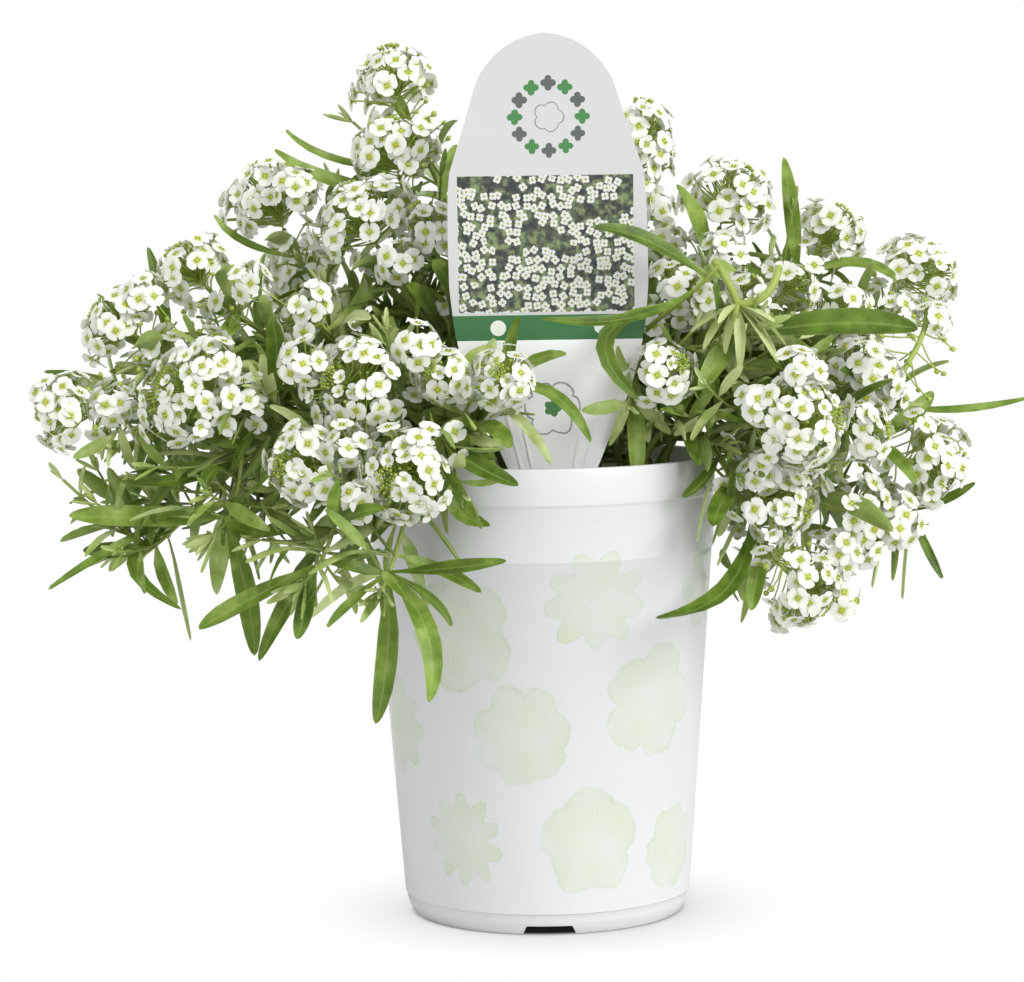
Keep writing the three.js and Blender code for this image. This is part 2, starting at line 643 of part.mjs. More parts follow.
// A core whose surface is parted into one cell for each floret, a green bud at the crown, and the
// point that the head sits on its stem with.
function headGeometry(head, draws) {
  const rings = floretRings(head);
  const level = (row) => THREE.MathUtils.lerp(headShape.crown, headShape.skirt, row / rings.length);
  const levels = [...rings.map((_, row) => level(row)), headShape.skirt];
  const starts = [draws.next()];
  rings.slice(1).forEach((count, i) => {
    const shared = (rings[i] * count) / gcd(rings[i], count);
    starts.push(starts[i] + Math.PI / shared);
  });
  const sideways = head.axis.clone().cross(Math.abs(head.axis.z) > 0.9 ? vec(1, 0, 0) : up).normalize();
  const forward = head.axis.clone().cross(sideways);
  const points = [];
  const addPoint = (dir, share) => {
    const p = head.centre.clone().addScaledVector(sideways, dir.x * share * head.a)
      .addScaledVector(forward, dir.y * share * head.a).addScaledVector(head.axis, dir.z * share * head.b);
    return points.push(p) - 1;
  };

  // Corners of the cells on each level, in order round the head.
  const corners = levels.map((polar, line) => {
    const turns = [line - 1, line].filter((row) => row in rings).flatMap((row) => (
      Array.from({ length: rings[row] }, (_, k) => (starts[row] + (k * fullTurn) / rings[row]) % fullTurn)));
    return turns.sort((one, two) => one - two)
      .filter((turn, i, all) => i === 0 || turn - all[i - 1] > 1e-6)
      .map((turn) => ({ turn, dir: direction(polar, turn) }))
      .map(({ turn, dir }) => ({ turn, dir, index: addPoint(dir, headShape.core) }));
  });
  const between = (list, from, to) => {
    const past = (turn) => (((turn - from) % fullTurn) + fullTurn + 1e-7) % fullTurn;
    const span = to - from + 2e-7;
    return list.filter(({ turn }) => past(turn) <= span).sort((one, two) => past(one.turn) - past(two.turn));
  };

  const faces = [];
  rings.forEach((count, row) => {
    for (let k = 0; k < count; k += 1) {
      const from = starts[row] + (k * fullTurn) / count;
      const to = from + fullTurn / count;
      const cell = [...between(corners[row + 1], from, to), ...between(corners[row], from, to).reverse()];
      const middle = direction((levels[row] + levels[row + 1]) / 2, (from + to) / 2);
      const east = vec(-Math.sin((from + to) / 2), Math.cos((from + to) / 2), 0);
      const north = middle.clone().cross(east);
      const outline = cell.map(({ dir }) => (
        new THREE.Vector2(dir.dot(east), dir.dot(north)).divideScalar(dir.dot(middle))));
      const rim = floretRim(outline, draws);
      const rimFlat = rim.map(({ angle, far }) => new THREE.Vector2(Math.cos(angle), Math.sin(angle)).multiplyScalar(far));
      const rimIndex = rim.map(({ share }, i) => {
        const dir = middle.clone().addScaledVector(east, rimFlat[i].x).addScaledVector(north, rimFlat[i].y);
        return addPoint(dir.normalize(), share);
      });
      const index = [...cell.map((corner) => corner.index), ...rimIndex];
      const flat = [...outline, ...rimFlat];
      for (const [a, b, c] of THREE.ShapeUtils.triangulateShape(outline, [rimFlat])) {
        const turn = flat[b].clone().sub(flat[a]).cross(flat[c].clone().sub(flat[a]));
        faces.push(turn > 0 ? [index[a], index[b], index[c]] : [index[a], index[c], index[b]]);
      }
      const notches = rimIndex.filter((_, i) => rim[i].share === headShape.notch);
      faces.push([notches[0], notches[1], notches[2]], [notches[0], notches[2], notches[3]]);
      rimIndex.forEach((at, i) => {
        if (rim[i].share !== headShape.notch) faces.push([rimIndex[(i + 7) % 8], at, rimIndex[(i + 1) % 8]]);
      });
    }
  });
  const bud = addPoint(vec(0, 0, 1), headShape.bud);
  corners[0].forEach(({ index }, i) => faces.push([index, corners[0][(i + 1) % corners[0].length].index, bud]));
  const foot = addPoint(vec(0, 0, -1), headShape.foot);
  const skirt = corners[corners.length - 1];
  skirt.forEach(({ index }, i) => faces.push([skirt[(i + 1) % skirt.length].index, index, foot]));
  return outward(geometryOf(points, faces));
}

// ---- The whole plant in its pot

addPiece('pot', geometryFrom(potSolid()), colours.pot, 0.35);
const hollows = [...leaders.map(holeSolid), tagSolid(fit)];
const soil = hollows.reduce((solid, hollow) => solid.subtract(hollow), soilSolid());
addPiece('soil', geometryFrom(soil), colours.soil, 0.95);
addPiece('tag', geometryFrom(tagSolid(0)), colours.tag, 0.4);

const numbered = (name, index) => `${name}_${String(index + 1).padStart(2, '0')}`;
stemList.forEach((_, owner) => {
  const tubes = branches.filter((branch) => branch.owner === owner).map(stemTube);
  const blades = leaves.filter((blade) => blade.owner === owner).map(bladeGeometry);
  const grown = wasm.Manifold.union([...tubes, ...blades].map(solidOf));
  addPiece(numbered('stem', owner), geometryFrom(grown), colours.leaf, 0.6);
});
heads.forEach((head, i) => {
  addPiece(numbered('head', i), headGeometry(head, new Draws(700 + i)), colours.petal, 0.7);
});

export default plant;
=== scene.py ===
# Sweet alyssum in a nursery pot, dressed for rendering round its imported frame.
import itertools
import json
import math
import bmesh
import bpy
import numpy as np
from mathutils import Matrix, Vector

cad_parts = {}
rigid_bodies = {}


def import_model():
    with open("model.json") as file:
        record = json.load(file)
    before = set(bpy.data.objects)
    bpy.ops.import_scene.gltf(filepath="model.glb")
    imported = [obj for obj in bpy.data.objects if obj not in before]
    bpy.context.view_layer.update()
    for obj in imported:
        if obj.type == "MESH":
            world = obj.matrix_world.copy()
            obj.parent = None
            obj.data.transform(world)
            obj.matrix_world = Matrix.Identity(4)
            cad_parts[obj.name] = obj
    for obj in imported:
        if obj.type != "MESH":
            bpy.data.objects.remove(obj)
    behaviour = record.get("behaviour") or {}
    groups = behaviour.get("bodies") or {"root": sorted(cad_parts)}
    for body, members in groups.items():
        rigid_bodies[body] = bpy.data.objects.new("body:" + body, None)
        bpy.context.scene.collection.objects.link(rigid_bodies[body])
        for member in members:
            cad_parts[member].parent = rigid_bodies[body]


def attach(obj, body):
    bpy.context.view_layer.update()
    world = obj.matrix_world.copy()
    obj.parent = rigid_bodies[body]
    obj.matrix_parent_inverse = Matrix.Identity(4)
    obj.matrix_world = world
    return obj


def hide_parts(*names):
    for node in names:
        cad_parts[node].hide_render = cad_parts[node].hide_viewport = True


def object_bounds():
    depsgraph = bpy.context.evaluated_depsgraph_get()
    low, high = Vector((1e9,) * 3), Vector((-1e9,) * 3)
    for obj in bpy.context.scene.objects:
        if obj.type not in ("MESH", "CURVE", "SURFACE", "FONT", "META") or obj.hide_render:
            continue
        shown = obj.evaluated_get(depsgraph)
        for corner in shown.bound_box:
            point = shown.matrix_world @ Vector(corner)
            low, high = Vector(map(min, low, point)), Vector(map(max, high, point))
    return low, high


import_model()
cadBox = [list(corner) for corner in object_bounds()]
scene = bpy.context.scene
fullTurn = 2 * math.pi
goldenAngle = 2.39996
metre = 0.001  # the layout below is in millimetres
low, high = (np.array(corner) / metre for corner in cadBox)

pot = {
    "height": 133.5, "rim": 50.4, "band": 11, "ledge": 107, "ledgeRadius": 49.3, "ledgeStep": 0.5,
    "foot": 39.4, "heel": 41.7, "heelHeight": 4.2, "seam": 6.2, "wall": 1.4, "footRing": 2.8, "underside": 3.2,
    "floor": 1.8, "segments": 120, "notches": 3, "notchWidth": 13, "notchHeight": 2.7, "notchFlare": 1.5,
    "notchReach": (-5, 7), "drains": 3, "drainRadius": 3.5, "drainRing": 23, "drainDepth": 8,
}
soil = {
    "top": 121, "swell": 1.3, "drop": 0.6, "edgeDrop": 0.8, "fit": 0.3, "rings": 16, "segments": 72,
    "lumps": 0.7, "crumbs": 1500, "area": 0.0071, "seed": 31,  # the area is in square metres
}
tag = {
    "x": 3, "y": -28, "thickness": 0.9, "lean": math.radians(-0.5), "top": 254.5, "tip": 97, "crown": 6,
    "outline": [(12.6, 250), (18.7, 243), (21.4, 234), (25.6, 221), (28.3, 213), (28, 166), (12.5, 132),
                (9, 121)],
    "ribs": [(-13.5, -8.3), (13.5, 8.3), (-9.3, -5.5), (9.3, 5.5)], "ribHeights": (150, 129.5), "ribHalf": 0.3,
    "ribRise": 0.22,
}
plant = {
    "halfWidth": 147.5, "halfDepth": 83, "cell": 2.2, "sample": 1.6, "seatGap": 0.4, "straightEnd": 0.8,
    "tries": 500, "step": 17, "holeDepth": 10, "holeRadius": 2.6, "footShare": 0.72,
    "arm": 0.42, "endArm": 0.32, "swing": 0.12, "widestSwing": 34, "leaderSway": 0.25,
    "forks": (0.5, 0.6, 0.4, 0.7, 0.34, 0.8), "rimBelow": 150, "rimStart": 30, "rimEnd": 18,
    "leafFoot": 7, "leafSample": 1.8, "leafTries": 12, "leafSwing": 0.6, "leafShift": 0.4,
    "rootPlaces": (0.2, 0.3, 0.4, 0.5, 0.6, 0.7, 0.8, 0.9), "seed": 20177,
}
tilt = {"level": 137, "perMm": 0.95, "lowest": -38, "highest": 80}
clear = {
    "stemToPot": 2.2, "stemToHead": 2.4, "leafToPot": 1.6, "leafToHead": 0.6, "twigToPot": 0.6,
    "twigToHead": 0.3, "tagHalf": 0.5, "edge": 0.8,
}

# Flower heads: centre x, y, z, width, height along its own axis, and the stem that carries it.
headList = [
    (-42, 25, 244, 24, 22, 1), (-42, 14, 223, 25, 20, 1),
    (-79, 28, 209, 28, 26, 2), (-74, 62, 186, 24, 20, 2),
    (-51, 2, 203, 28, 24, 3), (-30, -5, 198, 14, 24, 3),
    (-101, 0, 189, 23, 18, 4), (-67, -12, 176, 20, 14, 4),
    (-122, -8, 174, 25, 18, 5),
    (-99, -36, 157, 38, 20, 6),
    (-136, -20, 149, 24, 18, 7),
    (-53, -46, 157, 30, 20, 8), (-28, -45, 160, 16, 14, 8), (-11, -50, 159, 17, 14, 8),
    (-67, -56, 136, 21, 17, 9),
    (-38, -64, 134, 26, 22, 10),
    (29, 12, 222, 21, 32, 11), (0, 62, 206, 24, 20, 11),
    (57, 16, 207, 24, 24, 12), (59, -2, 180, 15, 12, 12),
    (87, 26, 197, 21, 18, 13),
    (113, 22, 185, 24, 20, 14), (95, 4, 157, 24, 20, 14),
    (41, -16, 181, 21, 18, 15), (35, -37, 160, 18, 15, 15),
    (74, 2, 182, 18, 12, 16), (72, -46, 145, 27, 26, 16),
    (112, -12, 131, 26, 22, 17), (92, -30, 141, 17, 14, 17),
    (66, -34, 122, 25, 22, 18), (92, -18, 114, 25, 20, 18), (75, -27, 96, 26, 18, 18),
    (60, 66, 168, 25, 20, 19), (102, 50, 150, 22, 18, 19),
    (-105, 46, 150, 24, 18, 20), (-40, 74, 152, 24, 20, 20),
]
# Where each stem leaves the soil, and the tips of its leafy shoots.
stemList = [
    ((-10, 12), []),
    ((-20, 14), [(-62, 40, 168)]),
    ((-9, -4), [(-30, 14, 176)]),
    ((-25, 4), [(-84, 8, 166)]),
    ((-31, -4), [(-112, 20, 146)]),
    ((-25, -13), [(-118, -24, 106)]),
    ((-35, -12), [(-92, -40, 116)]),
    ((-16, -21), []),
    ((-22, -28), [(-66, -58, 104)]),
    ((-13, -35), [(-45, -64, 102)]),
    ((4, 12), [(14, 34, 186)]),
    ((14, 6), [(46, 34, 168)]),
    ((22, 14), [(84, 42, 168)]),
    ((30, 4), [(122, 34, 140)]),
    ((14, -8), [(58, -34, 170), (50, -38, 189)]),
    ((22, -5), [(86, -6, 150)]),
    ((33, -8), [(112, -4, 112)]),
    ((27, -17), [(50, -30, 138)]),
    ((14, 27), [(30, 74, 142), (84, 66, 122)]),
    ((-16, 27), [(-78, 70, 128), (-8, 76, 138)]),
]
# Leaves that shape the outline: where the blade leaves its stem, its middle, its tip, its width.
leafList = [
    (-94, -30, 116, -114, -32, 119, -134, -34, 121, 7), (-93, -28, 111, -118, -29, 104, -140, -30, 97, 2.5),
    (-90, -32, 112, -111, -36, 105, -103, -40, 94, 3.5), (-74, -50, 112, -87, -53, 100, -96, -56, 91, 5.5),
    (-68, -52, 98, -77, -55, 88, -84, -58, 75, 5), (-77, -44, 109, -79, -44, 95, -82, -44, 82, 5.5),
    (-62, -58, 105, -68, -60, 96, -71, -62, 89, 4.5), (-52, -60, 103, -57, -62, 97, -60, -64, 92, 2.5),
    (-44, -66, 103, -44, -68, 83, -47, -70, 66, 5.5), (-40, -66, 103, -33, -69, 89, -34, -72, 72, 5.5),
    (56, -40, 117, 49, -51, 99, 30, -62, 93, 5.5), (52, -44, 133, 51, -50, 124, 49, -56, 117, 5.5),
    (58, -38, 110, 58, -38, 100, 58, -38, 92, 4.5), (100, -18, 107, 108, -16, 102, 115, -14, 97, 2.5),
    (107, 10, 140, 125, 20, 142, 147, 30, 147, 2.5), (102, 0, 139, 109, 3, 143, 115, 6, 150, 5),
    (66, -30, 175, 87, -32, 175, 106, -34, 170, 8), (66, 12, 196, 70, 11, 207, 72, 10, 219, 4.5),
    (51, 6, 192, 47, 4, 203, 39, 2, 215, 6.5), (42, -34, 193, 29, -38, 199, 15, -42, 200, 5),
    (91, 18, 189, 101, 16, 188, 108, 14, 180, 4), (-61, 10, 211, -69, 8, 215, -75, 6, 223, 4.5),
    (-54, 10, 220, -65, 12, 222, -72, 14, 230, 2.5), (-103, 4, 187, -109, 5, 191, -115, 6, 198, 3.5),
    (-121, 10, 155, -133, 14, 158, -147, 18, 159, 3), (-29, -18, 165, -32, -20, 176, -38, -22, 184, 8),
    (-27, -12, 168, -28, -13, 178, -33, -14, 188, 7), (39, -40, 170, 18, -44, 166, 27, -48, 152, 4.5),
    (-16, -52, 152, -1, -55, 154, 11, -58, 142, 3.5), (-71, -38, 153, -72, -41, 166, -75, -44, 177, 5),
    (-17, -46, 168, -15, -48, 174, -10, -50, 180, 3.5), (44, -38, 173, 22, -42, 173, -2, -46, 178, 3.5),
    (-24, -58, 143, -17, -60, 136, -7, -62, 130, 5.5), (-26, -60, 129, -18, -62, 123, -11, -64, 122, 5),
    (-17, -54, 150, -12, -56, 146, -9, -58, 140, 5), (-40, -66, 106, -29, -70, 106, -16, -74, 109, 4),
    (-40, -66, 104, -32, -70, 100, -21, -74, 97, 3.5), (-32, -64, 105, -27, -65, 99, -26, -66, 92, 2.5),
    (-83, -14, 180, -87, -17, 173, -97, -20, 167, 4.5), (-69, -10, 177, -60, -9, 183, -56, -8, 188, 4),
    (-41, -24, 170, -51, -29, 168, -59, -34, 166, 4), (-110, -34, 148, -99, -36, 139, -85, -38, 140, 4.5),
    (-93, -36, 145, -105, -38, 134, -119, -40, 131, 4), (-80, -44, 134, -89, -47, 136, -94, -50, 129, 4.5),
    (-59, -58, 115, -53, -60, 121, -42, -62, 125, 5), (-95, -44, 124, -85, -47, 117, -71, -50, 116, 5.5),
    (55, -32, 168, 50, -36, 162, 44, -40, 154, 5.5), (62, -34, 166, 44, -38, 151, 41, -42, 152, 6.5),
    (91, -24, 160, 82, -27, 161, 73, -30, 166, 3.5), (104, -22, 134, 106, -24, 128, 107, -26, 123, 4),
    (105, -10, 143, 94, -18, 154, 83, -26, 157, 4), (-88, 22, 199, -94, 22, 200, -96, 22, 205, 2.5),
    (120, -14, 124, 122, -15, 123, 124, -16, 125, 3),
]


class Draws:
    # A seeded row of numbers between 0 and 1, the same on every machine.
    def __init__(self, seed):
        self.state = seed

    def next(self):
        self.state = self.state * 16807 % 2147483647
        return self.state / 2147483647

    def spread(self, amount):
        return (self.next() * 2 - 1) * amount

    def within(self, least, more):
        return least + self.next() * more


def unit(v):
    return v / (math.sqrt(v @ v) or 1)


def lerp(a, b, t):
    return a + (b - a) * t


# Where everything grows, by the same rule and in the same order of draws as the solids.
free, nobody = -2, -1  # a cell that no stem holds, and an owner that holds none


class Space:
    # Small cells round the plant, each held by the first owner that claims it.
    offset = np.array([80, 80, 10])
    count = (160, 160, 160)
    around = np.array([[a, b, c] for a in (-1, 0, 1) for b in (-1, 0, 1) for c in (-1, 0, 1)])

    def __init__(self):
        self.cells = np.full(self.count, free, np.int16)

    def index(self, points):
        return np.floor(points / plant["cell"]).astype(int) + self.offset

    def claim(self, points, owner):
        for a, b, c in self.index(points):
            if self.cells[a, b, c] == free:
                self.cells[a, b, c] = owner

    def isFree(self, points, owners, reach=1):
        near = self.index(points)[:, None, :] + self.around[None] * reach
        held = self.cells[near[..., 0], near[..., 1], near[..., 2]]
        return ((held == free) | (held == np.asarray(owners).reshape(-1, 1))).all(1)


def wallRadius(z):
    slope = lerp(pot["heel"], pot["ledgeRadius"], (z - pot["heelHeight"]) / (pot["ledge"] - pot["heelHeight"]))
    upper = np.where(z >= pot["height"] - pot["band"], pot["rim"], pot["ledgeRadius"] + pot["ledgeStep"])
    return np.where(z >= pot["ledge"], upper, slope)


def tagHalfWidth(z):
    heights = [point[1] for point in reversed(tag["outline"])]
    halves = [point[0] for point in reversed(tag["outline"])]
    half = np.interp(z, heights, halves)
    return np.where((z >= tag["top"]) | (z < tag["tip"]), 0, half)


def clearOfPot(p, margin):
    r = np.hypot(p[:, 0], p[:, 1])
    outside = r > wallRadius(np.maximum(p[:, 2], pot["heelHeight"])) + margin
    inside = (r < pot["ledgeRadius"] - pot["wall"] - margin) & (p[:, 2] > soil["top"] + margin)
    offPot = (p[:, 2] >= pot["height"] + margin) | outside | inside
    across = np.abs(p[:, 0] - tag["x"] - (p[:, 2] - soil["top"]) * math.tan(tag["lean"]))
    thick = np.abs(p[:, 1] - tag["y"]) > margin + clear["tagHalf"]
    return offPot & (thick | (across > tagHalfWidth(p[:, 2] - 1) + margin))


def headAxis(centre):
    rise = math.radians(min(max((centre[2] - tilt["level"]) * tilt["perMm"], tilt["lowest"]), tilt["highest"]))
    out = math.hypot(centre[0], centre[1])
    return np.array([centre[0] / out * math.cos(rise), centre[1] / out * math.cos(rise), math.sin(rise)])


heads = []
for x, y, z, wide, tall, owner in headList:
    centre = np.array([x, y, z], float)
    axis = headAxis(centre)
    foot = centre - axis * (tall / 2 * plant["footShare"] + plant["seatGap"])
    heads.append({
        "centre": centre, "axis": axis, "a": wide / 2, "b": tall / 2, "owner": owner - 1, "foot": foot})
centres = np.array([head["centre"] for head in heads])
axes = np.array([head["axis"] for head in heads])
halfWide = np.array([head["a"] for head in heads])
halfTall = np.array([head["b"] for head in heads])


def insideHeads(p, margin):
    off = p[:, None, :] - centres[None]
    along = (off * axes[None]).sum(2)
    across = np.sqrt(np.maximum(0, (off ** 2).sum(2) - along ** 2))
    return (along / (halfTall + margin)) ** 2 + (across / (halfWide + margin)) ** 2 < 1


# How far outside a head, and how far in front of it, no small leaf grows, and over what share of its width.
bloomRoom = {"outside": 26, "outsideShare": 0.95, "before": 40, "beforeShare": 0.85}


def hidesBloom(points):
    off = np.array(points)[:, None, :] - centres[None]
    along = (off * axes[None]).sum(2)
    beside = np.sqrt(np.maximum(0, (off ** 2).sum(2) - along ** 2))
    outside = (along > 0) & (along < bloomRoom["outside"]) & (beside < halfWide * bloomRoom["outsideShare"])
    seen = np.hypot(off[..., 0], off[..., 2]) < halfWide * bloomRoom["beforeShare"]
    before = (off[..., 1] < 0) & (off[..., 1] > -bloomRoom["before"]) & seen
    return bool((outside | before).any())


def bezier(points, t):
    t = np.asarray(t, float).reshape(-1, 1)
    k = 1 - t
    if len(points) == 4:
        a, b, c, d = points
        return k * k * k * a + 3 * k * k * t * b + 3 * k * t * t * c + t * t * t * d
    a, b, c = points
    return k * k * a + 2 * k * t * b + t * t * c


def tangent(points, t):
    ends = bezier(points, [max(0, t - 0.0001), min(1, t + 0.0001)])
    return unit(ends[1] - ends[0])


def chordPoints(branch, t):
    # Places on the straight pieces that the solid stems are made of.
    place = np.minimum(t, 0.9999) * branch["steps"]
    ring = np.floor(place)
    start = bezier(branch["curve"], ring / branch["steps"])
    return start + (bezier(branch["curve"], (ring + 1) / branch["steps"]) - start) * (place - ring)[:, None]


def chordPoint(branch, t):
    return chordPoints(branch, np.array([t]))[0]


space = Space()
draws = Draws(plant["seed"])
branches = []
leaves = []
up = np.array([0.0, 0.0, 1.0])
sideways = np.array([1.0, 0, 0])
aslant = np.array([0.31, 0.94, 0.11])  # along no stem, so a ring can be squared to it


def routeBranch(start, heading, end, axis, owner, head=None, leads=False):
    # Swings the curve's two middle points ever wider until it runs clear of everything.
    reach = math.dist(start, end)
    overRim = leads and end[2] < plant["rimBelow"]
    arm = reach * plant["arm"] + (plant["rimStart"] if overRim else 0)
    lift = plant["rimEnd"] if overRim else 0
    for attempt in range(plant["tries"]):
        swing = min(attempt * plant["swing"], plant["widestSwing"])
        sway = swing * plant["leaderSway"] if leads else swing
        turn = [draws.spread(sway), draws.spread(sway), draws.next() * swing if leads else draws.spread(sway)]
        p1 = start + heading * arm + turn
        turn = [draws.spread(swing), draws.spread(swing), draws.spread(swing) + lift]
        p2 = end - axis * reach * plant["endArm"] + turn
        if unit(end - p2) @ axis < plant["straightEnd"]:
            continue
        curve = [start, p1, p2, end]
        fine = bezier(curve, np.arange(201) / 200)
        length = float(np.linalg.norm(np.diff(fine, axis=0), axis=1).sum())
        steps = max(3, math.floor(length / plant["step"] + 0.5))
        branch = {
            "curve": curve, "length": length, "steps": steps, "owner": owner, "head": head, "leads": leads}
        count = math.ceil(length / plant["sample"])
        samples = chordPoints(branch, np.arange(count + 1) / count)
        if not space.isFree(samples, owner).all():
            continue
        aside = np.hypot(*(samples - samples[0])[:, :2].T)
        inHole = leads & (aside < plant["holeRadius"] * 1.5)
        if not (inHole | clearOfPot(samples, clear["stemToPot"])).all():
            continue
        hit = insideHeads(samples, clear["stemToHead"])
        if head is not None:
            hit[np.arange(count + 1) > count * 0.8, head] = False
        if hit.any():
            continue
        space.claim(samples, owner)
        return branch
    return None


def forkBranch(owner, end, axis, head=None):
    leader = branches[owner]
    for t in plant["forks"]:
        start = chordPoint(leader, t)
        branch = routeBranch(start, tangent(leader["curve"], t), end, axis, owner, head)
        if branch:
            branches.append(branch)
            return


for owner, (root, shoots) in enumerate(stemList):
    first = next(i for i, head in enumerate(heads) if head["owner"] == owner)
    start = np.array([root[0], root[1], soil["top"] - plant["holeDepth"] + soil["fit"]])
    branches.append(routeBranch(start, up, heads[first]["foot"], heads[first]["axis"], owner, first, True))
leaderHeads = {branch["head"] for branch in branches}
for i, head in enumerate(heads):
    if i not in leaderHeads:
        forkBranch(head["owner"], head["foot"], head["axis"], i)
for owner, (root, shoots) in enumerate(stemList):
    for tip in shoots:
        forkBranch(owner, np.array(tip, float), headAxis(tip))


def bladeShare(s):
    # how wide the solids' blade is from its foot, 0, to its tip, 1
    return np.sin(math.pi * np.minimum(1, 0.1 + 0.9 * s)) ** 0.6


def bladeSamples(blade):
    along = math.ceil(blade["length"] / plant["leafSample"])
    places, sides = [], []
    for i in range(1, along + 1):
        half = blade["width"] / 2 * bladeShare(i / along)
        across = max(1, math.ceil(half / plant["leafSample"]))
        places += [i / along] * (2 * across + 1)
        sides += [(j / across - 1) * half for j in range(2 * across + 1)]
    places = np.array(places)
    return bezier(blade["curve"], places) + np.array(sides)[:, None] * blade["side"], places * blade["length"]


def makeBlade(branch, t, middle, tip, width, face):
    root = chordPoint(branch, t)
    pull = middle * 2 - (root + tip) * 0.5
    return {
        "owner": branch["owner"], "root": root, "curve": [root, pull, tip], "width": width,
        "side": unit(np.cross(unit(tip - root), face)),
        "length": math.dist(root, middle) + math.dist(middle, tip),
    }


def tryLeaf(branch, t, middle, tip, width, face, loose=False):
    blade = makeBlade(branch, t, middle, tip, width, face)
    at, far = bladeSamples(blade)
    if (np.abs(at[:, 0]) >= plant["halfWidth"]).any() or (np.abs(at[:, 1]) >= plant["halfDepth"]).any():
        return False
    if not ((far < 1) | clearOfPot(at, clear["leafToPot"])).all() or insideHeads(at, clear["leafToHead"]).any():
        return False
    owners = np.where(far > plant["leafFoot"], nobody, branch["owner"])
    if not space.isFree(at, owners, 0 if loose else 1).all() or (loose and hidesBloom(at[::3])):
        return False
    space.claim(at, branch["owner"])
    leaves.append(blade)
    return True


outlook = np.array([0, -0.75, 0.66])
for values in leafList:
    wanted, middle, tip = (np.array(values[i:i + 3], float) for i in (0, 3, 6))
    places = []
    for branch in branches:
        for t in plant["rootPlaces"]:
            shift = chordPoint(branch, t) - wanted
            places.append((math.hypot(shift[0], shift[1] * 0.6, shift[2]), branch, t, shift))
    places.sort(key=lambda place: place[0])
    for attempt in range(plant["leafTries"] ** 2):
        far, branch, t, shift = places[attempt // plant["leafTries"]]
        swing = attempt % plant["leafTries"] * plant["leafSwing"]
        bend = np.array([draws.spread(swing), draws.spread(swing * 2), draws.spread(swing)])
        if tryLeaf(branch, t, middle + shift * plant["leafShift"] + bend, tip + bend, values[9], outlook):
            break
outlineLeaves = len(leaves)


def beside(along):
    # A direction square to this one.
    return unit(np.cross(along, sideways if abs(along[2]) > 0.9 else up))


def turned(v, axis, angle):
    return v * math.cos(angle) + np.cross(axis, v) * math.sin(angle) + axis * (axis @ v) * (1 - math.cos(angle))


# Leaves along a branch: the gap between them, where the first stands on a leader and on a side branch, their
# shortest length and what is added to it, the same for their width, and the turn of the first.
solidLeaf = {"gap": 14, "first": (0.3, 0.15), "sizes": (20, 13), "widths": (3.6, 2), "turn": 0}
smallLeaf = {"gap": 6.5, "first": (0.22, 0.1), "sizes": (15, 14), "widths": (3.0, 1.9), "turn": 0.4}
leafStand = {"last": 0.96, "sway": 0.4, "tries": 10, "tryTurn": 0.7, "shortenAfter": 5, "shortened": 0.7,
             "along": 0.55, "arch": 1.5, "droop": 0.12}


def dressBranch(branch, kind, loose):
    first, last = kind["first"][0 if branch["leads"] else 1], leafStand["last"]
    count = math.floor(branch["length"] * (last - first) / kind["gap"])
    for i in range(count):
        t = first + (last - first) * (i + 0.5) / count
        root = chordPoint(branch, t)
        along = tangent(branch["curve"], t)
        flat = beside(along)
        length = draws.within(*kind["sizes"])
        width = draws.within(*kind["widths"])
        angle = (i + kind["turn"]) * goldenAngle + draws.spread(leafStand["sway"])
        for attempt in range(leafStand["tries"]):
            out = turned(flat, along, angle + attempt * leafStand["tryTurn"])
            heading = unit(along * leafStand["along"] + out)
            size = length * (leafStand["shortened"] if attempt > leafStand["shortenAfter"] else 1)
            middle = root + heading * size * 0.5 + up * leafStand["arch"]
            tip = root + heading * size - up * size * leafStand["droop"]
            if tryLeaf(branch, t, middle, tip, width, along, loose):
                break


for branch in branches:
    dressBranch(branch, solidLeaf, False)
solidLeaves = len(leaves)
print("layout:", len(branches), "branches,", solidLeaves, "leaves in the solids")

# The solids keep room between leaves; here smaller ones fill it, close round every branch.
for branch in branches:
    dressBranch(branch, smallLeaf, True)
print("layout:", len(leaves) - solidLeaves, "smaller leaves between them")


# Small helpers that put nodes in a tree. A value may be a number, a colour or another node's socket.
def put(tree, kind, inputs=None, **settings):
    made = tree.nodes.new(kind)
    for key, value in settings.items():
        setattr(made, key, value)
    for key, value in (inputs or {}).items():
        if isinstance(value, bpy.types.NodeSocket):
            tree.links.new(value, made.inputs[key])
        else:
            isColour = made.inputs[key].type == "RGBA"
            made.inputs[key].default_value = (*value[:3], 1) if isColour else value
    return made


def outOf(tree, kind, inputs=None, **settings):
    return put(tree, kind, inputs, **settings).outputs[0]


def treeOf(*values):
    return next(value.id_data for value in values if isinstance(value, bpy.types.NodeSocket))


def calc(operation, a, b=0.0, c=0.0):
    return outOf(treeOf(a, b, c), "ShaderNodeMath", {0: a, 1: b, 2: c}, operation=operation)


def plus(a, b):
    return calc("ADD", a, b)


def minus(a, b):
    return calc("SUBTRACT", a, b)


def times(a, b):
    return calc("MULTIPLY", a, b)


def farFrom(x, y):
    return calc("SQRT", plus(times(x, x), times(y, y)))


def ranged(value, start, end, atStart=0.0, atEnd=1.0, kind="LINEAR"):
    return outOf(value.id_data, "ShaderNodeMapRange", {
        "Value": value, "From Min": start, "From Max": end, "To Min": atStart, "To Max": atEnd},
        interpolation_type=kind)


def noise(place, scale, detail):
    return outOf(place.id_data, "ShaderNodeTexNoise", {"Vector": place, "Scale": scale, "Detail": detail})


def split(place):
    return put(place.id_data, "ShaderNodeSeparateXYZ", {0: place}).outputs


def attribute(tree, name):
    return put(tree, "ShaderNodeAttribute", attribute_name=name).outputs["Fac"]


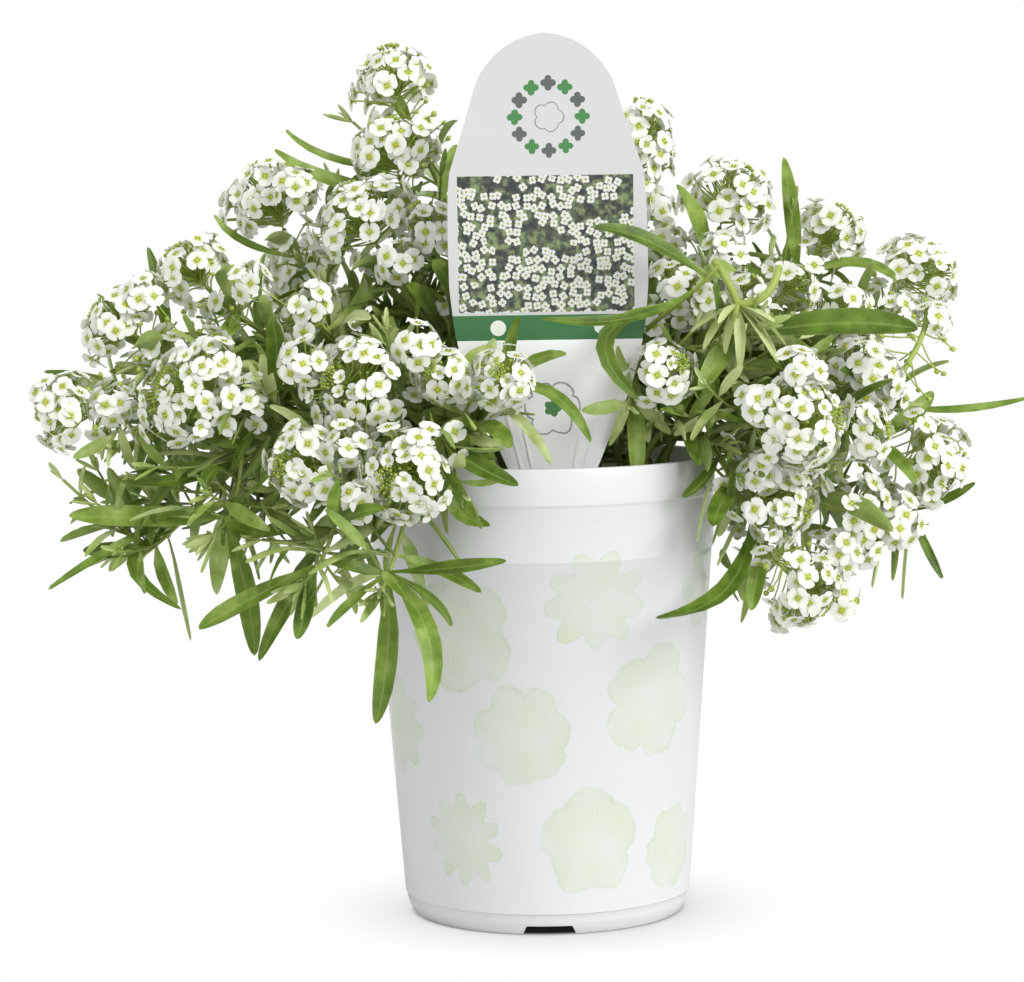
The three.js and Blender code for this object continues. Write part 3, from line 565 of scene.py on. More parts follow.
def colourRamp(value, stops):
    ramp = put(value.id_data, "ShaderNodeValToRGB", {"Fac": value})
    elements = ramp.color_ramp.elements
    while len(elements) < len(stops):
        elements.new(0.5)
    for element, (place, colour) in zip(elements, stops):
        element.position = place
        element.color = (*colour, 1)
    return ramp.outputs["Color"]


def blend(share, first, second, mode="MIX"):
    return put(treeOf(share, first, second), "ShaderNodeMix", {0: share, 6: first, 7: second},
               data_type="RGBA", blend_type=mode).outputs[2]


def newGroup(name, kind, inputs, outputs):
    tree = bpy.data.node_groups.new(name, kind)
    for side, sockets in (("INPUT", inputs), ("OUTPUT", outputs)):
        for label, socketKind, *value in sockets:
            socket = tree.interface.new_socket(label, in_out=side, socket_type="NodeSocket" + socketKind)
            if value:
                socket.default_value = value[0]
    return tree, tree.nodes.new("NodeGroupInput").outputs, tree.nodes.new("NodeGroupOutput").inputs


def makeVariation():
    # Two scales of soft variation over a surface: a broad one for its colour and a fine height for its bump.
    tree, given, result = newGroup(
        "softVariation", "ShaderNodeTree",
        [("Vector", "Vector"), ("Scale", "Float", 200.0), ("Fine", "Float", 1500.0)],
        [("Broad", "Float"), ("Height", "Float")])
    tree.links.new(noise(given["Vector"], given["Scale"], 2.0), result["Broad"])
    tree.links.new(noise(given["Vector"], given["Fine"], 3.0), result["Height"])
    return tree


softVariation = makeVariation()


def newMaterial(name):
    # Gives its tree and the object's own coordinates as well.
    material = bpy.data.materials.new(name)
    material.use_nodes = True
    tree = material.node_tree
    tree.nodes.clear()
    return material, tree, tree.nodes.new("ShaderNodeTexCoord").outputs["Object"]


def variation(place, look):
    return put(place.id_data, "ShaderNodeGroup", {
        "Vector": place, "Scale": look["broad"], "Fine": look["fine"]}, node_tree=softVariation).outputs


def showSurface(tree, surface):
    output = tree.nodes.new("ShaderNodeOutputMaterial")
    tree.links.new(surface.outputs[0], output.inputs["Surface"])


def finishMaterial(tree, look, colour, height):
    # A Principled surface with a part of its light let through from the other side.
    relief = put(tree, "ShaderNodeBump", {"Height": height, "Strength": look["bump"], "Distance": 0.4 * metre})
    surface = put(tree, "ShaderNodeBsdfPrincipled", {
        "Base Color": colour, "Normal": relief.outputs[0], **look["surface"]})
    if look["through"]:
        glow = blend(look["glowShare"], colour, look["glow"])
        through = put(tree, "ShaderNodeBsdfTranslucent", {"Color": glow, "Normal": relief.outputs[0]})
        surface = put(tree, "ShaderNodeMixShader", {
            0: look["through"], 1: surface.outputs[0], 2: through.outputs[0]})
    showSurface(tree, surface)


# Faces carry a number for what they are, and materials tell them apart by it.
tissue = {"blade": 0, "stalk": 1, "throat": 2, "stamen": 3}


def isKind(value, kind):
    return calc("COMPARE", value, float(kind), 0.1)


leafLook = {
    "broad": 170.0, "fine": 1400.0, "bump": 0.35, "through": 0.27, "glow": (0.50, 0.68, 0.06), "glowShare": 0.5,
    "surface": {"Roughness": 0.42, "Specular IOR Level": 0.34},
    "shades": [(0.12, (0.050, 0.104, 0.004)), (0.36, (0.145, 0.246, 0.022)), (0.56, (0.325, 0.452, 0.098)),
               (0.84, (0.680, 0.770, 0.380))],
    "shadeShare": 0.85, "variationShare": 0.7, "darker": 0.17, "paleFoot": (0.0, 0.35, 0.16, 0.0),
    "midrib": (0.03, 0.16), "veins": 9.0, "veinThin": 14.0, "veinRelief": 0.12, "edge": 9.0, "hairs": 3600.0,
    "hairSpan": (0.56, 0.72),
    "tints": {"veins": (0.05, (0.36, 0.44, 0.13)), "midrib": (0.28, (0.40, 0.50, 0.14)),
              "under": (0.42, (0.36, 0.43, 0.16)), "edge": (0.24, (0.42, 0.50, 0.16)),
              "hairs": (0.2, (0.42, 0.49, 0.18))},
}


def makeLeafMaterial(look):
    # UV: x from the stalk to the tip, y round the blade: 0 to 0.5 across its upper side, then its underside.
    material, tree, place = newMaterial("alyssumLeaf")
    broad, fine = variation(place, look)
    along, aroundBlade, _ = split(outOf(tree, "ShaderNodeUVMap", uv_map="blade"))
    under = calc("GREATER_THAN", aroundBlade, 0.5)
    folded = minus(aroundBlade, times(under, 0.5))
    across = times(calc("ABSOLUTE", minus(folded, 0.25)), 4.0)
    wave = calc("SINE", times(minus(times(along, look["veins"]), across), fullTurn))
    veins = calc("POWER", calc("ABSOLUTE", wave), look["veinThin"])
    masks = {
        "veins": veins, "under": under, "edge": calc("POWER", across, look["edge"]),
        "midrib": minus(1.0, ranged(across, *look["midrib"], kind="SMOOTHSTEP")),
        "hairs": ranged(noise(place, look["hairs"], 1.0), *look["hairSpan"]),  # a pale silvery speckle
    }
    # the broad variation, at a large share, is partly the blades' own mottling and partly painted highlights on
    # them
    mixed = plus(times(attribute(tree, "shade"), look["shadeShare"]), times(broad, look["variationShare"]))
    mixed = plus(minus(mixed, look["darker"]), ranged(along, *look["paleFoot"]))
    blade = colourRamp(mixed, look["shades"])
    for part, (share, tint) in look["tints"].items():
        blade = blend(times(masks[part], share), blade, tint)
    finishMaterial(tree, look, blade, plus(times(veins, look["veinRelief"]), fine))
    return material


stemLook = {
    "broad": 90.0, "fine": 1100.0, "bump": 0.3, "through": 0.12, "glow": (0.5, 0.7, 0.2), "glowShare": 0.3,
    "surface": {"Roughness": 0.5, "Specular IOR Level": 0.4, "Sheen Weight": 0.1},
    "shades": [(0.1, (0.105, 0.095, 0.030)), (0.3, (0.135, 0.20, 0.042)), (0.65, (0.27, 0.36, 0.06)),
               (0.95, (0.40, 0.50, 0.11))],
    "shadeShare": 0.8, "variationShare": 0.25,
}


def makeStemMaterial(look):
    material, tree, place = newMaterial("alyssumStem")
    broad, fine = variation(place, look)
    mixed = plus(times(attribute(tree, "shade"), look["shadeShare"]), times(broad, look["variationShare"]))
    finishMaterial(tree, look, colourRamp(mixed, look["shades"]), fine)
    return material


petalLook = {
    "broad": 240.0, "fine": 1800.0, "bump": 0.2, "through": 0.34, "glow": (0.97, 0.97, 0.92), "glowShare": 0.5,
    "surface": {"Roughness": 0.48, "Specular IOR Level": 0.35, "Sheen Weight": 0.1},
    "whites": ((0.92, 0.93, 0.875), (0.955, 0.962, 0.92)), "foot": (0.52, 0.61, 0.18), "footSpan": (0.16, 0.52),
}


def makePetalMaterial(look):
    material, tree, place = newMaterial("alyssumPetal")
    broad, fine = variation(place, look)
    fromFoot = ranged(attribute(tree, "fromThroat"), *look["footSpan"])
    finishMaterial(tree, look, blend(fromFoot, look["foot"], blend(broad, *look["whites"])), fine)
    return material


greenLook = {
    "broad": 300.0, "fine": 1500.0, "bump": 0.25, "through": 0.15, "glow": (0.6, 0.75, 0.2), "glowShare": 0.4,
    "surface": {"Roughness": 0.45, "Specular IOR Level": 0.45},
    "shoot": ((0.27, 0.38, 0.035), (0.52, 0.62, 0.13)), "throat": ((0.40, 0.46, 0.025), (0.62, 0.66, 0.08)),
    "stamen": (0.15, 0.12, 0.02),
}


def makeGreenMaterial(look):
    # Buds, throats, pedicels and pods.
    material, tree, place = newMaterial("alyssumBud")
    broad, fine = variation(place, look)
    kind = attribute(tree, "tissue")
    colour = blend(isKind(kind, tissue["throat"]), blend(broad, *look["shoot"]), blend(broad, *look["throat"]))
    finishMaterial(tree, look, blend(isKind(kind, tissue["stamen"]), colour, look["stamen"]), fine)
    return material


leafSkin, stemSkin = makeLeafMaterial(leafLook), makeStemMaterial(stemLook)
petalSkin, greenSkin = makePetalMaterial(petalLook), makeGreenMaterial(greenLook)
print("materials: leaf, stem, petal and bud")


# Edges sharper than this, in degrees, stay crisp.
crisp = {"stem": 70, "floret": 75, "lathe": 42, "tag": 35}


def newObject(name, data, *materials):
    made = bpy.data.objects.new(name, data)
    scene.collection.objects.link(made)
    for material in materials:
        data.materials.append(material)
    return made


def meshFrom(name, points, faces, edges=()):
    # The points are in millimetres.
    mesh = bpy.data.meshes.new(name)
    mesh.from_pydata((np.array(points, float).reshape(-1, 3) * metre).tolist(), edges, faces)
    return mesh


def mark(mesh, name, domain, values):
    mesh.attributes.new(name, "FLOAT", domain).data.foreach_set("value", np.array(values, float))


class Growth:
    # Collects closed tubes and blades, then makes one mesh of them.
    def __init__(self):
        self.points, self.faces, self.uvs, self.kinds, self.shades = [], [], [], [], []

    def loft(self, rings, tip, kind, shade, uvAlong):
        # rings: arrays of the same number of points; a flat cap closes the start, a point the end
        start, count = len(self.points), len(rings[0])
        for ring in rings:
            self.points.extend(ring)
        self.points.append(tip)
        self.shades += [shade] * (count * len(rings) + 1)
        last = start + count * len(rings)
        self.addFace([start + j for j in reversed(range(count))], [(0, j / count) for j in range(count)], kind)
        for i in range(len(rings)):
            for j in range(count):
                k = (j + 1) % count
                near, far = uvAlong[i], uvAlong[min(i + 1, len(rings) - 1)]
                a, b = start + i * count + j, start + i * count + k
                foot = [(near, j / count), (near, (j + 1) / count)]
                if i + 1 < len(rings):
                    uv = foot + [(far, (j + 1) / count), (far, j / count)]
                    self.addFace([a, b, b + count, a + count], uv, kind)
                else:
                    self.addFace([a, b, last], foot + [(1, (j + 0.5) / count)], kind)

    def addFace(self, face, uv, kind):
        self.faces.append(face)
        self.uvs.extend(uv)
        self.kinds.append(kind)

    def toMesh(self, name):
        mesh = meshFrom(name, self.points, self.faces)
        layer = mesh.uv_layers.new(name="blade")
        layer.data.foreach_set("uv", np.array(self.uvs).ravel())
        mark(mesh, "shade", "POINT", self.shades)
        mark(mesh, "tissue", "FACE", self.kinds)
        return finishShape(mesh, crisp["stem"])


def finishShape(mesh, degrees):
    # Faces point out and are smooth.
    work = bmesh.new()
    work.from_mesh(mesh)
    bmesh.ops.recalc_face_normals(work, faces=work.faces)
    for edge in work.edges:
        edge.smooth = edge.is_manifold and edge.calc_face_angle(0) < math.radians(degrees)
    for face in work.faces:
        face.smooth = True
    work.to_mesh(mesh)
    work.free()
    return mesh


# Stems and their large leaves. Tones replace the drawn shade of a leaf, by its place in the list above.
foliage = {
    "sides": 7, "ringGap": 4.0, "baseRadius": 1.3, "shootRadius": 0.95, "endShare": 0.55, "tipShare": 0.8,
    "leaderShade": 0.55, "branchShade": 0.675, "thickness": 0.3, "fold": 0.26, "breadth": 1.12, "seed": 411,
    "rings": (0, 0.1, 0.22, 0.35, 0.48, 0.61, 0.74, 0.85, 0.93, 0.975), "stalk": 0.62,
    "smallRings": (0, 0.13, 0.32, 0.55, 0.77, 0.92, 0.975), "smallStalk": 0.42,
    "edges": (-1, -0.52, 0, 0.52, 1, 0.5, 0, -0.5), "upperEdges": 5,
    "wave": 0.28, "waves": 9, "twist": 0.5, "curl": 0.10,
    "darkFrom": 110, "darkOver": 130, "darkShare": 0.12, "outlineShades": (0.02, 0.26),
    "solidShades": (0.05, 0.50), "smallShades": (0.08, 0.78),
    "tones": {0: 0.34, 16: 0.02, 19: -0.02, 27: 0.08, 31: 0.08, 32: 0.02},
}
wilds = Draws(foliage["seed"])


def addTube(growth, points, radii, shade):
    rings = []
    across = None
    for i, p in enumerate(points):
        ahead = unit(points[min(i + 1, len(points) - 1)] - points[max(i - 1, 0)])
        across = np.cross(ahead, aslant) if across is None else across - ahead * (across @ ahead)
        across = unit(across)
        other = np.cross(ahead, across)
        turns = np.arange(foliage["sides"]) * fullTurn / foliage["sides"]
        rings.append(p + radii[i] * (np.cos(turns)[:, None] * across + np.sin(turns)[:, None] * other))
    end = points[-1] + unit(points[-1] - points[-2]) * radii[-1] * foliage["tipShare"]
    growth.loft(rings, end, tissue["stalk"], shade, np.linspace(0, 1, len(points)))


def leafOutline(s):
    # widest past its middle, with a narrow foot and a blunt tip
    return math.sin(math.pi * min(1, 0.1 + 0.9 * s ** 1.28)) ** 0.52 * min(1, 0.24 + s * 2.7)


def addBlade(growth, blade, shade, small):
    places, stalk = (foliage[key] for key in (("smallRings", "smallStalk") if small else ("rings", "stalk")))
    wave = wilds.spread(foliage["wave"])
    phase = wilds.next() * fullTurn
    twist = wilds.spread(foliage["twist"])
    curl = wilds.spread(foliage["curl"]) * blade["length"]
    rings = []
    for s in places:
        ahead = tangent(blade["curve"], s)
        side = turned(blade["side"], ahead, twist * (s - 0.3))
        side = unit(side - ahead * (side @ ahead))
        lifted = np.cross(side, ahead)
        centre = bezier(blade["curve"], [s])[0] + lifted * curl * (s ** 2 - s)
        half = max(stalk, blade["width"] * foliage["breadth"] / 2 * leafOutline(s))
        fold = foliage["fold"] * half * (0.4 + s)
        ripple = math.sin(s * foliage["waves"] + phase) * wave * half
        ring = []
        for k, u in enumerate(foliage["edges"]):
            height = fold * abs(u) ** 1.4 + ripple * u * 0.5
            if k >= foliage["upperEdges"]:
                height -= foliage["thickness"] * (1.5 if u == 0 else 1)
            ring.append(centre + side * u * half + lifted * height)
        rings.append(np.array(ring))
    growth.loft(rings, blade["curve"][2], tissue["blade"], shade, places)


# Short leafy twigs between the stems. "open" lists places, seen from the front, where none of them grows.
twig = {
    "gap": 9.0, "first": 0.12, "last": 0.95, "length": (12, 18), "radius": 0.45, "seed": 77, "seedStep": 7919,
    "along": 0.6, "out": 0.7, "up": 0.2, "rise": 0.22, "joints": (0, 0.35, 0.7, 1),
    "shadeFoot": 100, "shadeOver": 140, "shade": (0.08, 0.14, 0.5), "stalkLighter": 0.2, "toneSway": 0.22,
    "leafGap": 3.3, "leafSize": (1.35, 0.95), "leafShrink": (1.15, 0.75), "leafPlaces": (0.12, 0.84),
    "leafRise": 0.44, "leafAlong": 0.65, "leafOut": 0.85, "archedFrom": 0.7, "broadFrom": 0.42,
    "sizeSpread": 0.25, "rosette": 4, "tipBuds": 16, "sideBuds": 9, "budShare": 0.3,
    "thinX": 103, "airyX": 70, "airyZ": 150, "thinShare": 0.7,
    "open": [
        (98, 201, 10), (117, 108, 13), (-25, 244, 17), (-20, 226, 13), (-88, 196, 8), (42, 197, 12),
        (49, 218, 16), (58, 204, 12), (38, 183, 9), (71, 97, 5), (-112, 100, 12), (-90, 90, 10),
        (138, 140, 17), (128, 160, 12), (-11, 180, 9), (3, 178, 9), (46, 121, 9), (-117, 192, 13),
        (-131, 166, 8)],
}


def keptOpen(point):
    return any(math.hypot(point[0] - x, point[2] - z) < radius for x, z, radius in twig["open"])


growths = [Growth() for _ in stemList]
for branch in branches:
    count = max(4, math.ceil(branch["length"] / foliage["ringGap"]))
    base, shade = ("baseRadius", "leaderShade") if branch["leads"] else ("shootRadius", "branchShade")
    radii = np.linspace(foliage[base], foliage[base] * foliage["endShare"], count + 1)
    points = bezier(branch["curve"], np.arange(count + 1) / count)
    addTube(growths[branch["owner"]], points, radii, foliage[shade])
# pale bare stems that meet in front on the right, and a curved stalk of pods beyond them
bare = {"radius": 1.15, "shade": 0.85, "rings": 8}
junction = {
    "owner": 14, "at": (55, -37, 178), "leaves": 9, "turn": 2.4, "size": 1.3, "shade": 0.75,
    "ends": [((53, -39, 184), (49, -33, 190)), ((54, -40, 172), (50, -30, 164)),
             ((64, -40, 177), (67, -34, 188)), ((60, -30, 172), (66, -20, 166))],
}
podStalk = {
    "owner": 13, "head": 21, "radius": 0.85, "rings": 12, "start": 0.2, "pods": 22,
    "curve": np.array([(113, 10, 177), (115, 0, 168), (106, -6, 160), (100, -6, 148)], float),
}


def addBareStem(owner, curve, radius, rings):
    places = np.arange(rings) / (rings - 1)
    addTube(growths[owner], bezier(curve, places), [radius] * rings, bare["shade"])


for bend, end in junction["ends"]:
    addBareStem(junction["owner"], np.array([junction["at"], bend, end], float), bare["radius"], bare["rings"])
addBareStem(podStalk["owner"], podStalk["curve"], podStalk["radius"], podStalk["rings"])
for i, blade in enumerate(leaves):
    small = i >= solidLeaves
    if small and keptOpen(blade["curve"][2]):
        continue
    height = (blade["root"][2] - foliage["darkFrom"]) / foliage["darkOver"]
    span = foliage["outlineShades" if i < outlineLeaves else "smallShades" if small else "solidShades"]
    shade = foliage["darkShare"] * height + wilds.within(*span)
    addBlade(growths[blade["owner"]], blade, foliage["tones"].get(i, shade), small)
print("stems:", sum(len(growth.faces) for growth in growths), "faces with their large leaves")


# Parts that repeat: small leaves, florets, buds and pods.
leaflet = {"length": 10, "stalk": 0.16, "thickness": 0.16, "midrib": 0.3}


def leafPattern(name, width, bend, fold, twist=0.0):
    # A small blade along +Z, with its upper side to +Y.
    growth = Growth()
    rings, length, thickness = [], leaflet["length"], leaflet["thickness"]
    for s in foliage["smallRings"]:
        half = max(leaflet["stalk"], width / 2 * leafOutline(s))
        z, y = length * s, bend * s ** 2
        flat = [(-half, fold * half), (0, 0), (half, fold * half), (half * 0.5, -thickness),
                (0, -leaflet["midrib"]), (-half * 0.5, -thickness)]
        cosine, sine = math.cos(twist * s), math.sin(twist * s)
        rings.append(np.array([(u * cosine - v * sine, y + u * sine + v * cosine, z) for u, v in flat]))
    growth.loft(rings, np.array([0, bend, length]), tissue["blade"], 0, foliage["smallRings"])
    mesh = growth.toMesh(name)
    mesh.attributes.remove(mesh.attributes["shade"])
    return mesh


def bloomMesh(name, points, faces, kinds, far):
    mesh = meshFrom(name, points, faces)
    mark(mesh, "tissue", "FACE", kinds)
    mark(mesh, "fromThroat", "POINT", far)
    return finishShape(mesh, crisp["floret"])


# A floret: how far out each row of a petal lies and its half width, and the cones of throat, calyx and stamens.
floret = {
    "rows": [(0.45, 0.6), (1.3, 1.36), (2.2, 1.84), (2.95, 1.2)], "reach": 3, "sheet": 0.12, "skew": 0.06,
    "tipDrop": 0.22, "tipLonger": 0.2, "hollow": 0.10, "throat": (-0.08, 1.02, 0.4, 6),
    "calyx": (-0.25, 0.62, -1.3, 4), "stamen": (0.1, 0.2, 0.5, 3), "stamenRing": 0.6,
}


def floretMesh(name, cup, size, stamens):
    # Four closed petals round a throat, with a small calyx behind, opening along +Z.
    points, faces, kinds, far = [], [], [], []

    def add(x, y, z, distance):
        points.append((x, y, z))
        far.append(distance)
        return len(points) - 1

    last = len(floret["rows"]) - 1
    for k in range(4):
        turn = k * math.pi / 2 + (floret["skew"] if k % 2 else -floret["skew"])
        cosine, sine = math.cos(turn), math.sin(turn)
        grids = []
        for under in (False, True):
            grid = []
            for i, (out, half) in enumerate(floret["rows"]):
                out, half = out * size, half * size
                share = out / floret["reach"] / size
                rise = cup * share ** 1.5 - (floret["tipDrop"] if i == last else 0)
                row = []
                for u in (-1, 0, 1):
                    if under and u:
                        row.append(grids[0][i][u + 1])
                        continue
                    longer = floret["tipLonger"] * size if (u == 0 and i == last) else 0
                    dip = -floret["hollow"] * (1 - abs(u)) - (floret["sheet"] if under else 0)
                    x, y = out + longer, u * half
                    row.append(add(x * cosine - y * sine, x * sine + y * cosine, rise + dip, share))
                grid.append(row)
            grids.append(grid)
        upper, lower = grids
        for i in range(last):
            for u in (0, 1):
                faces.append((upper[i][u], upper[i + 1][u], upper[i + 1][u + 1], upper[i][u + 1]))
                faces.append((lower[i][u], lower[i][u + 1], lower[i + 1][u + 1], lower[i + 1][u]))
        for i, flip in ((0, False), (last, True)):
            ends = [(upper[i][0], upper[i][1], lower[i][1]), (upper[i][1], upper[i][2], lower[i][1])]
            faces.extend(tuple(reversed(end)) if flip else end for end in ends)
    kinds += [tissue["blade"]] * len(faces)

    def cone(x, y, shape, scale, kind):
        z, radius, tall, sides = shape
        turns = [j * fullTurn / sides for j in range(sides)]
        wide = radius * scale
        ring = [add(x + wide * math.cos(turn), y + wide * math.sin(turn), z, 0) for turn in turns]
        tip = add(x, y, z + tall, 0)
        order = [(ring[j], ring[(j + 1) % sides], tip) for j in range(sides)] + [tuple(reversed(ring))]
        faces.extend(order if tall > 0 else [tuple(reversed(face)) for face in order])
        kinds.extend([kind] * (sides + 1))

    cone(0, 0, floret["throat"], size, tissue["throat"])
    cone(0, 0, floret["calyx"], size, tissue["stalk"])
    for k in range(stamens):
        turn = (k + 0.5) * fullTurn / stamens
        reach = floret["stamenRing"]
        cone(reach * math.cos(turn), reach * math.sin(turn), floret["stamen"], 1, tissue["stamen"])
    return bloomMesh(name, points, faces, kinds, far)


def budMesh(name, radius, tall, sides=5):
    points = [(0, 0, -tall / 2)]
    for share, z in ((0.8, -0.2), (1.0, 0.12)):
        for j in range(sides):
            turn = (j + (0.5 if z > 0 else 0)) * fullTurn / sides
            points.append((radius * share * math.cos(turn), radius * share * math.sin(turn), tall * z))
    points.append((0, 0, tall / 2))
    faces = [(0, 1 + (j + 1) % sides, 1 + j) for j in range(sides)]
    faces += [(1 + j, 1 + (j + 1) % sides, 1 + sides + j) for j in range(sides)]
    faces += [(1 + (j + 1) % sides, 1 + sides + (j + 1) % sides, 1 + sides + j) for j in range(sides)]
    faces += [(1 + sides + j, 1 + sides + (j + 1) % sides, len(points) - 1) for j in range(sides)]
    return bloomMesh(name, points, faces, [tissue["stalk"]] * len(faces), [0] * len(points))


def patternSet(name, members):
    made = bpy.data.collections.new(name)
    scene.collection.children.link(made)
    for i, (label, mesh) in enumerate(members):
        made.objects.link(bpy.data.objects.new(f"{i}_{label}", mesh))
    return made, {label: i for i, (label, mesh) in enumerate(members)}


# florets: cup, size, stamens; buds and pods: radius, height; small leaves: width, bend, fold, twist
blossomParts, blossomKinds = patternSet("blossomParts", [
    ("open", floretMesh("open", 0.5, 1.0, 4)),
    ("flat", floretMesh("flat", 0.1, 1.03, 4)),
    ("cupped", floretMesh("cupped", 1.3, 0.88, 3)),
    ("bud", budMesh("bud", 0.62, 1.7)),
    ("pod", budMesh("pod", 0.95, 2.6))])
leafParts, leafKinds = patternSet("leafParts", [
    ("long", leafPattern("long", 2.3, -1.0, 0.32, 0.5)),
    ("arched", leafPattern("arched", 2.15, -2.9, 0.22, -0.6)),
    ("broad", leafPattern("broad", 2.75, -1.7, 0.16, 0.2)),
    ("young", leafPattern("young", 2.1, 1.2, 0.5)),
    ("bud", budMesh("leafBud", 0.55, 1.2))])


def dressed(tree, parts, finishes, result):
    # Joins the parts, makes the instances real and gives each finish to the faces it is for.
    joined = put(tree, "GeometryNodeJoinGeometry")
    for part in parts:
        tree.links.new(part, joined.inputs[0])
    whole = outOf(tree, "GeometryNodeRealizeInstances", {"Geometry": joined.outputs[0]})
    for material, faces in finishes:
        whole = outOf(tree, "GeometryNodeSetMaterial", {
            "Geometry": whole, "Material": material, "Selection": faces})
    tree.links.new(whole, result[0])


def eachOf(tree, collection):
    return outOf(tree, "GeometryNodeCollectionInfo", {
        "Collection": collection, "Separate Children": True, "Reset Children": True})


def makeSprigTree():
    # Points carry which part stands there, its size and its turn; edges become its stalks.
    tree, given, result = newGroup(
        "sprigs", "GeometryNodeTree",
        [("Geometry", "Geometry"), ("Base", "Object"), ("Parts", "Collection"),
         ("Stalk radius", "Float", 0.0003), ("Size spread", "Float", 0.12), ("Seed", "Int", 1),
         ("Skin", "Material"), ("Stalk skin", "Material")],
        [("Geometry", "Geometry")])

    def named(name, kind):
        return outOf(tree, "GeometryNodeInputNamedAttribute", {"Name": name}, data_type=kind)

    kind = named("kind", "INT")
    isPlaced = outOf(tree, "FunctionNodeCompare", {2: kind, 3: 0}, data_type="INT", operation="GREATER_EQUAL")
    chance = put(tree, "FunctionNodeRandomValue", {
        2: minus(1.0, given["Size spread"]), 3: 1.0, "Seed": given["Seed"]}, data_type="FLOAT")
    placed = outOf(tree, "GeometryNodeInstanceOnPoints", {
        "Points": given["Geometry"], "Selection": isPlaced, "Instance": eachOf(tree, given["Parts"]),
        "Pick Instance": True, "Instance Index": kind, "Rotation": named("spin", "QUATERNION"),
        "Scale": times(named("size", "FLOAT"), chance.outputs[1])})
    lines = outOf(tree, "GeometryNodeMeshToCurve", {"Mesh": given["Geometry"]})
    circle = outOf(tree, "GeometryNodeCurvePrimitiveCircle", {"Resolution": 4, "Radius": given["Stalk radius"]})
    stalks = outOf(tree, "GeometryNodeCurveToMesh", {
        "Curve": lines, "Profile Curve": circle, "Fill Caps": True})
    stalks = outOf(tree, "GeometryNodeStoreNamedAttribute", {
        "Geometry": stalks, "Name": "tissue", "Value": float(tissue["stalk"])},
        data_type="FLOAT", domain="FACE")
    base = put(tree, "GeometryNodeObjectInfo", {"Object": given["Base"]}).outputs["Geometry"]
    isStalk = calc("GREATER_THAN", named("tissue", "FLOAT"), 0.5)
    finishes = [(given["Skin"], True), (given["Stalk skin"], isStalk)]
    dressed(tree, (placed, stalks, base), finishes, result)
    return tree


sprigTree = makeSprigTree()


def plainResult(thing):
    # What its modifiers make of it, as a plain mesh without them.
    mesh = bpy.data.meshes.new_from_object(thing.evaluated_get(bpy.context.evaluated_depsgraph_get()))
    thing.modifiers.clear()
    return mesh


def grown(name, guide, tree, values):
    # Runs the tree on a guide mesh, and keeps what it makes inside the frame's box.
    work = newObject(name + "Guide", guide)
    modifier = work.modifiers.new("grow", "NODES")
    modifier.node_group = tree
    for item in tree.interface.items_tree:
        if item.in_out == "INPUT" and item.name in values:
            modifier[item.identifier] = values[item.name]
    mesh = plainResult(work)
    bpy.data.objects.remove(work)
    mesh.name = name
    places = np.zeros(len(mesh.vertices) * 3)
    mesh.vertices.foreach_get("co", places)
    mesh.vertices.foreach_set("co", np.clip(places.reshape(-1, 3), low * metre, high * metre).ravel())
    return newObject(name, mesh)


class Guide:
    # Points where parts stand, and the polylines of their stalks.
    aslant = np.array([0.3, 0.9, 0.2])

    def __init__(self, numbers):
        self.numbers = numbers
        self.points, self.edges, self.kinds, self.spins, self.sizes, self.shades = [], [], [], [], [], []

    def add(self, point, kind=None, along=up, across=None, size=1.0, shade=0.5):
        # The part's own Z runs along, and its X across. Without a kind nothing stands there.
        along = unit(along)
        across = np.cross(along, self.aslant) if across is None else across - along * (across @ along)
        across = unit(across)
        spin = Matrix((across, np.cross(along, across), along)).transposed().to_quaternion()
        self.points.append(point)
        self.kinds.append(self.numbers.get(kind, -1))
        self.spins.append(tuple(spin))
        self.sizes.append(size)
        self.shades.append(shade)
        return len(self.points) - 1

    def line(self, points, shade=0.5):
        made = [self.add(point, shade=shade) for point in points]
        self.edges += list(zip(made, made[1:]))

    def toMesh(self):
        mesh = meshFrom("guide", self.points, [], self.edges)
        for name, kind, values in (("kind", "INT", self.kinds), ("spin", "QUATERNION", self.spins),
                                   ("size", "FLOAT", self.sizes), ("shade", "FLOAT", self.shades)):
            mesh.attributes.new(name, kind, "POINT").data.foreach_set("value", np.array(values).ravel())
        return mesh


def isOpen(points, margin=clear["twigToHead"], edge=clear["edge"]):
    points = np.array(points)
    inBox = ((points > low + edge) & (points < high - edge)).all(1)
    return bool((inBox & clearOfPot(points, clear["twigToPot"]) & ~insideHeads(points, margin).any(1)).all())


def aroundTip(forward):
    # A direction square to a growing tip.
    return unit(np.cross(forward, [0.2, 0.7, 0.1]))


def leafEnds(point, aim, size):
    return [point + aim * leaflet["length"] / 2 * size, point + aim * leaflet["length"] * size]


# How leaves spread and grow from the middle of a rosette outwards, and how close buds stand at its tip.
rosette = {"spread": (0.25, 0.75), "sizes": (0.6, 0.5), "lighter": 0.2, "leaves": 9, "size": 1.35, "shade": 0.4}
tipBuds = {"ring": 0.55, "rise": 2.2, "dome": 0.16, "lean": 0.25, "size": 0.9, "shade": 0.75}


def addRosette(guide, point, forward, count, size, shade):
    flat = aroundTip(forward)
    for j in range(count):
        side = turned(flat, forward, j * goldenAngle)
        aim = unit(forward + side * (rosette["spread"][0] + rosette["spread"][1] * j / count))
        long = size * (rosette["sizes"][0] + rosette["sizes"][1] * j / count)
        if isOpen(leafEnds(point, aim, long)):
            upper = forward - aim * (forward @ aim)
            guide.add(point, "young", aim, np.cross(upper, aim), long, shade + rosette["lighter"])


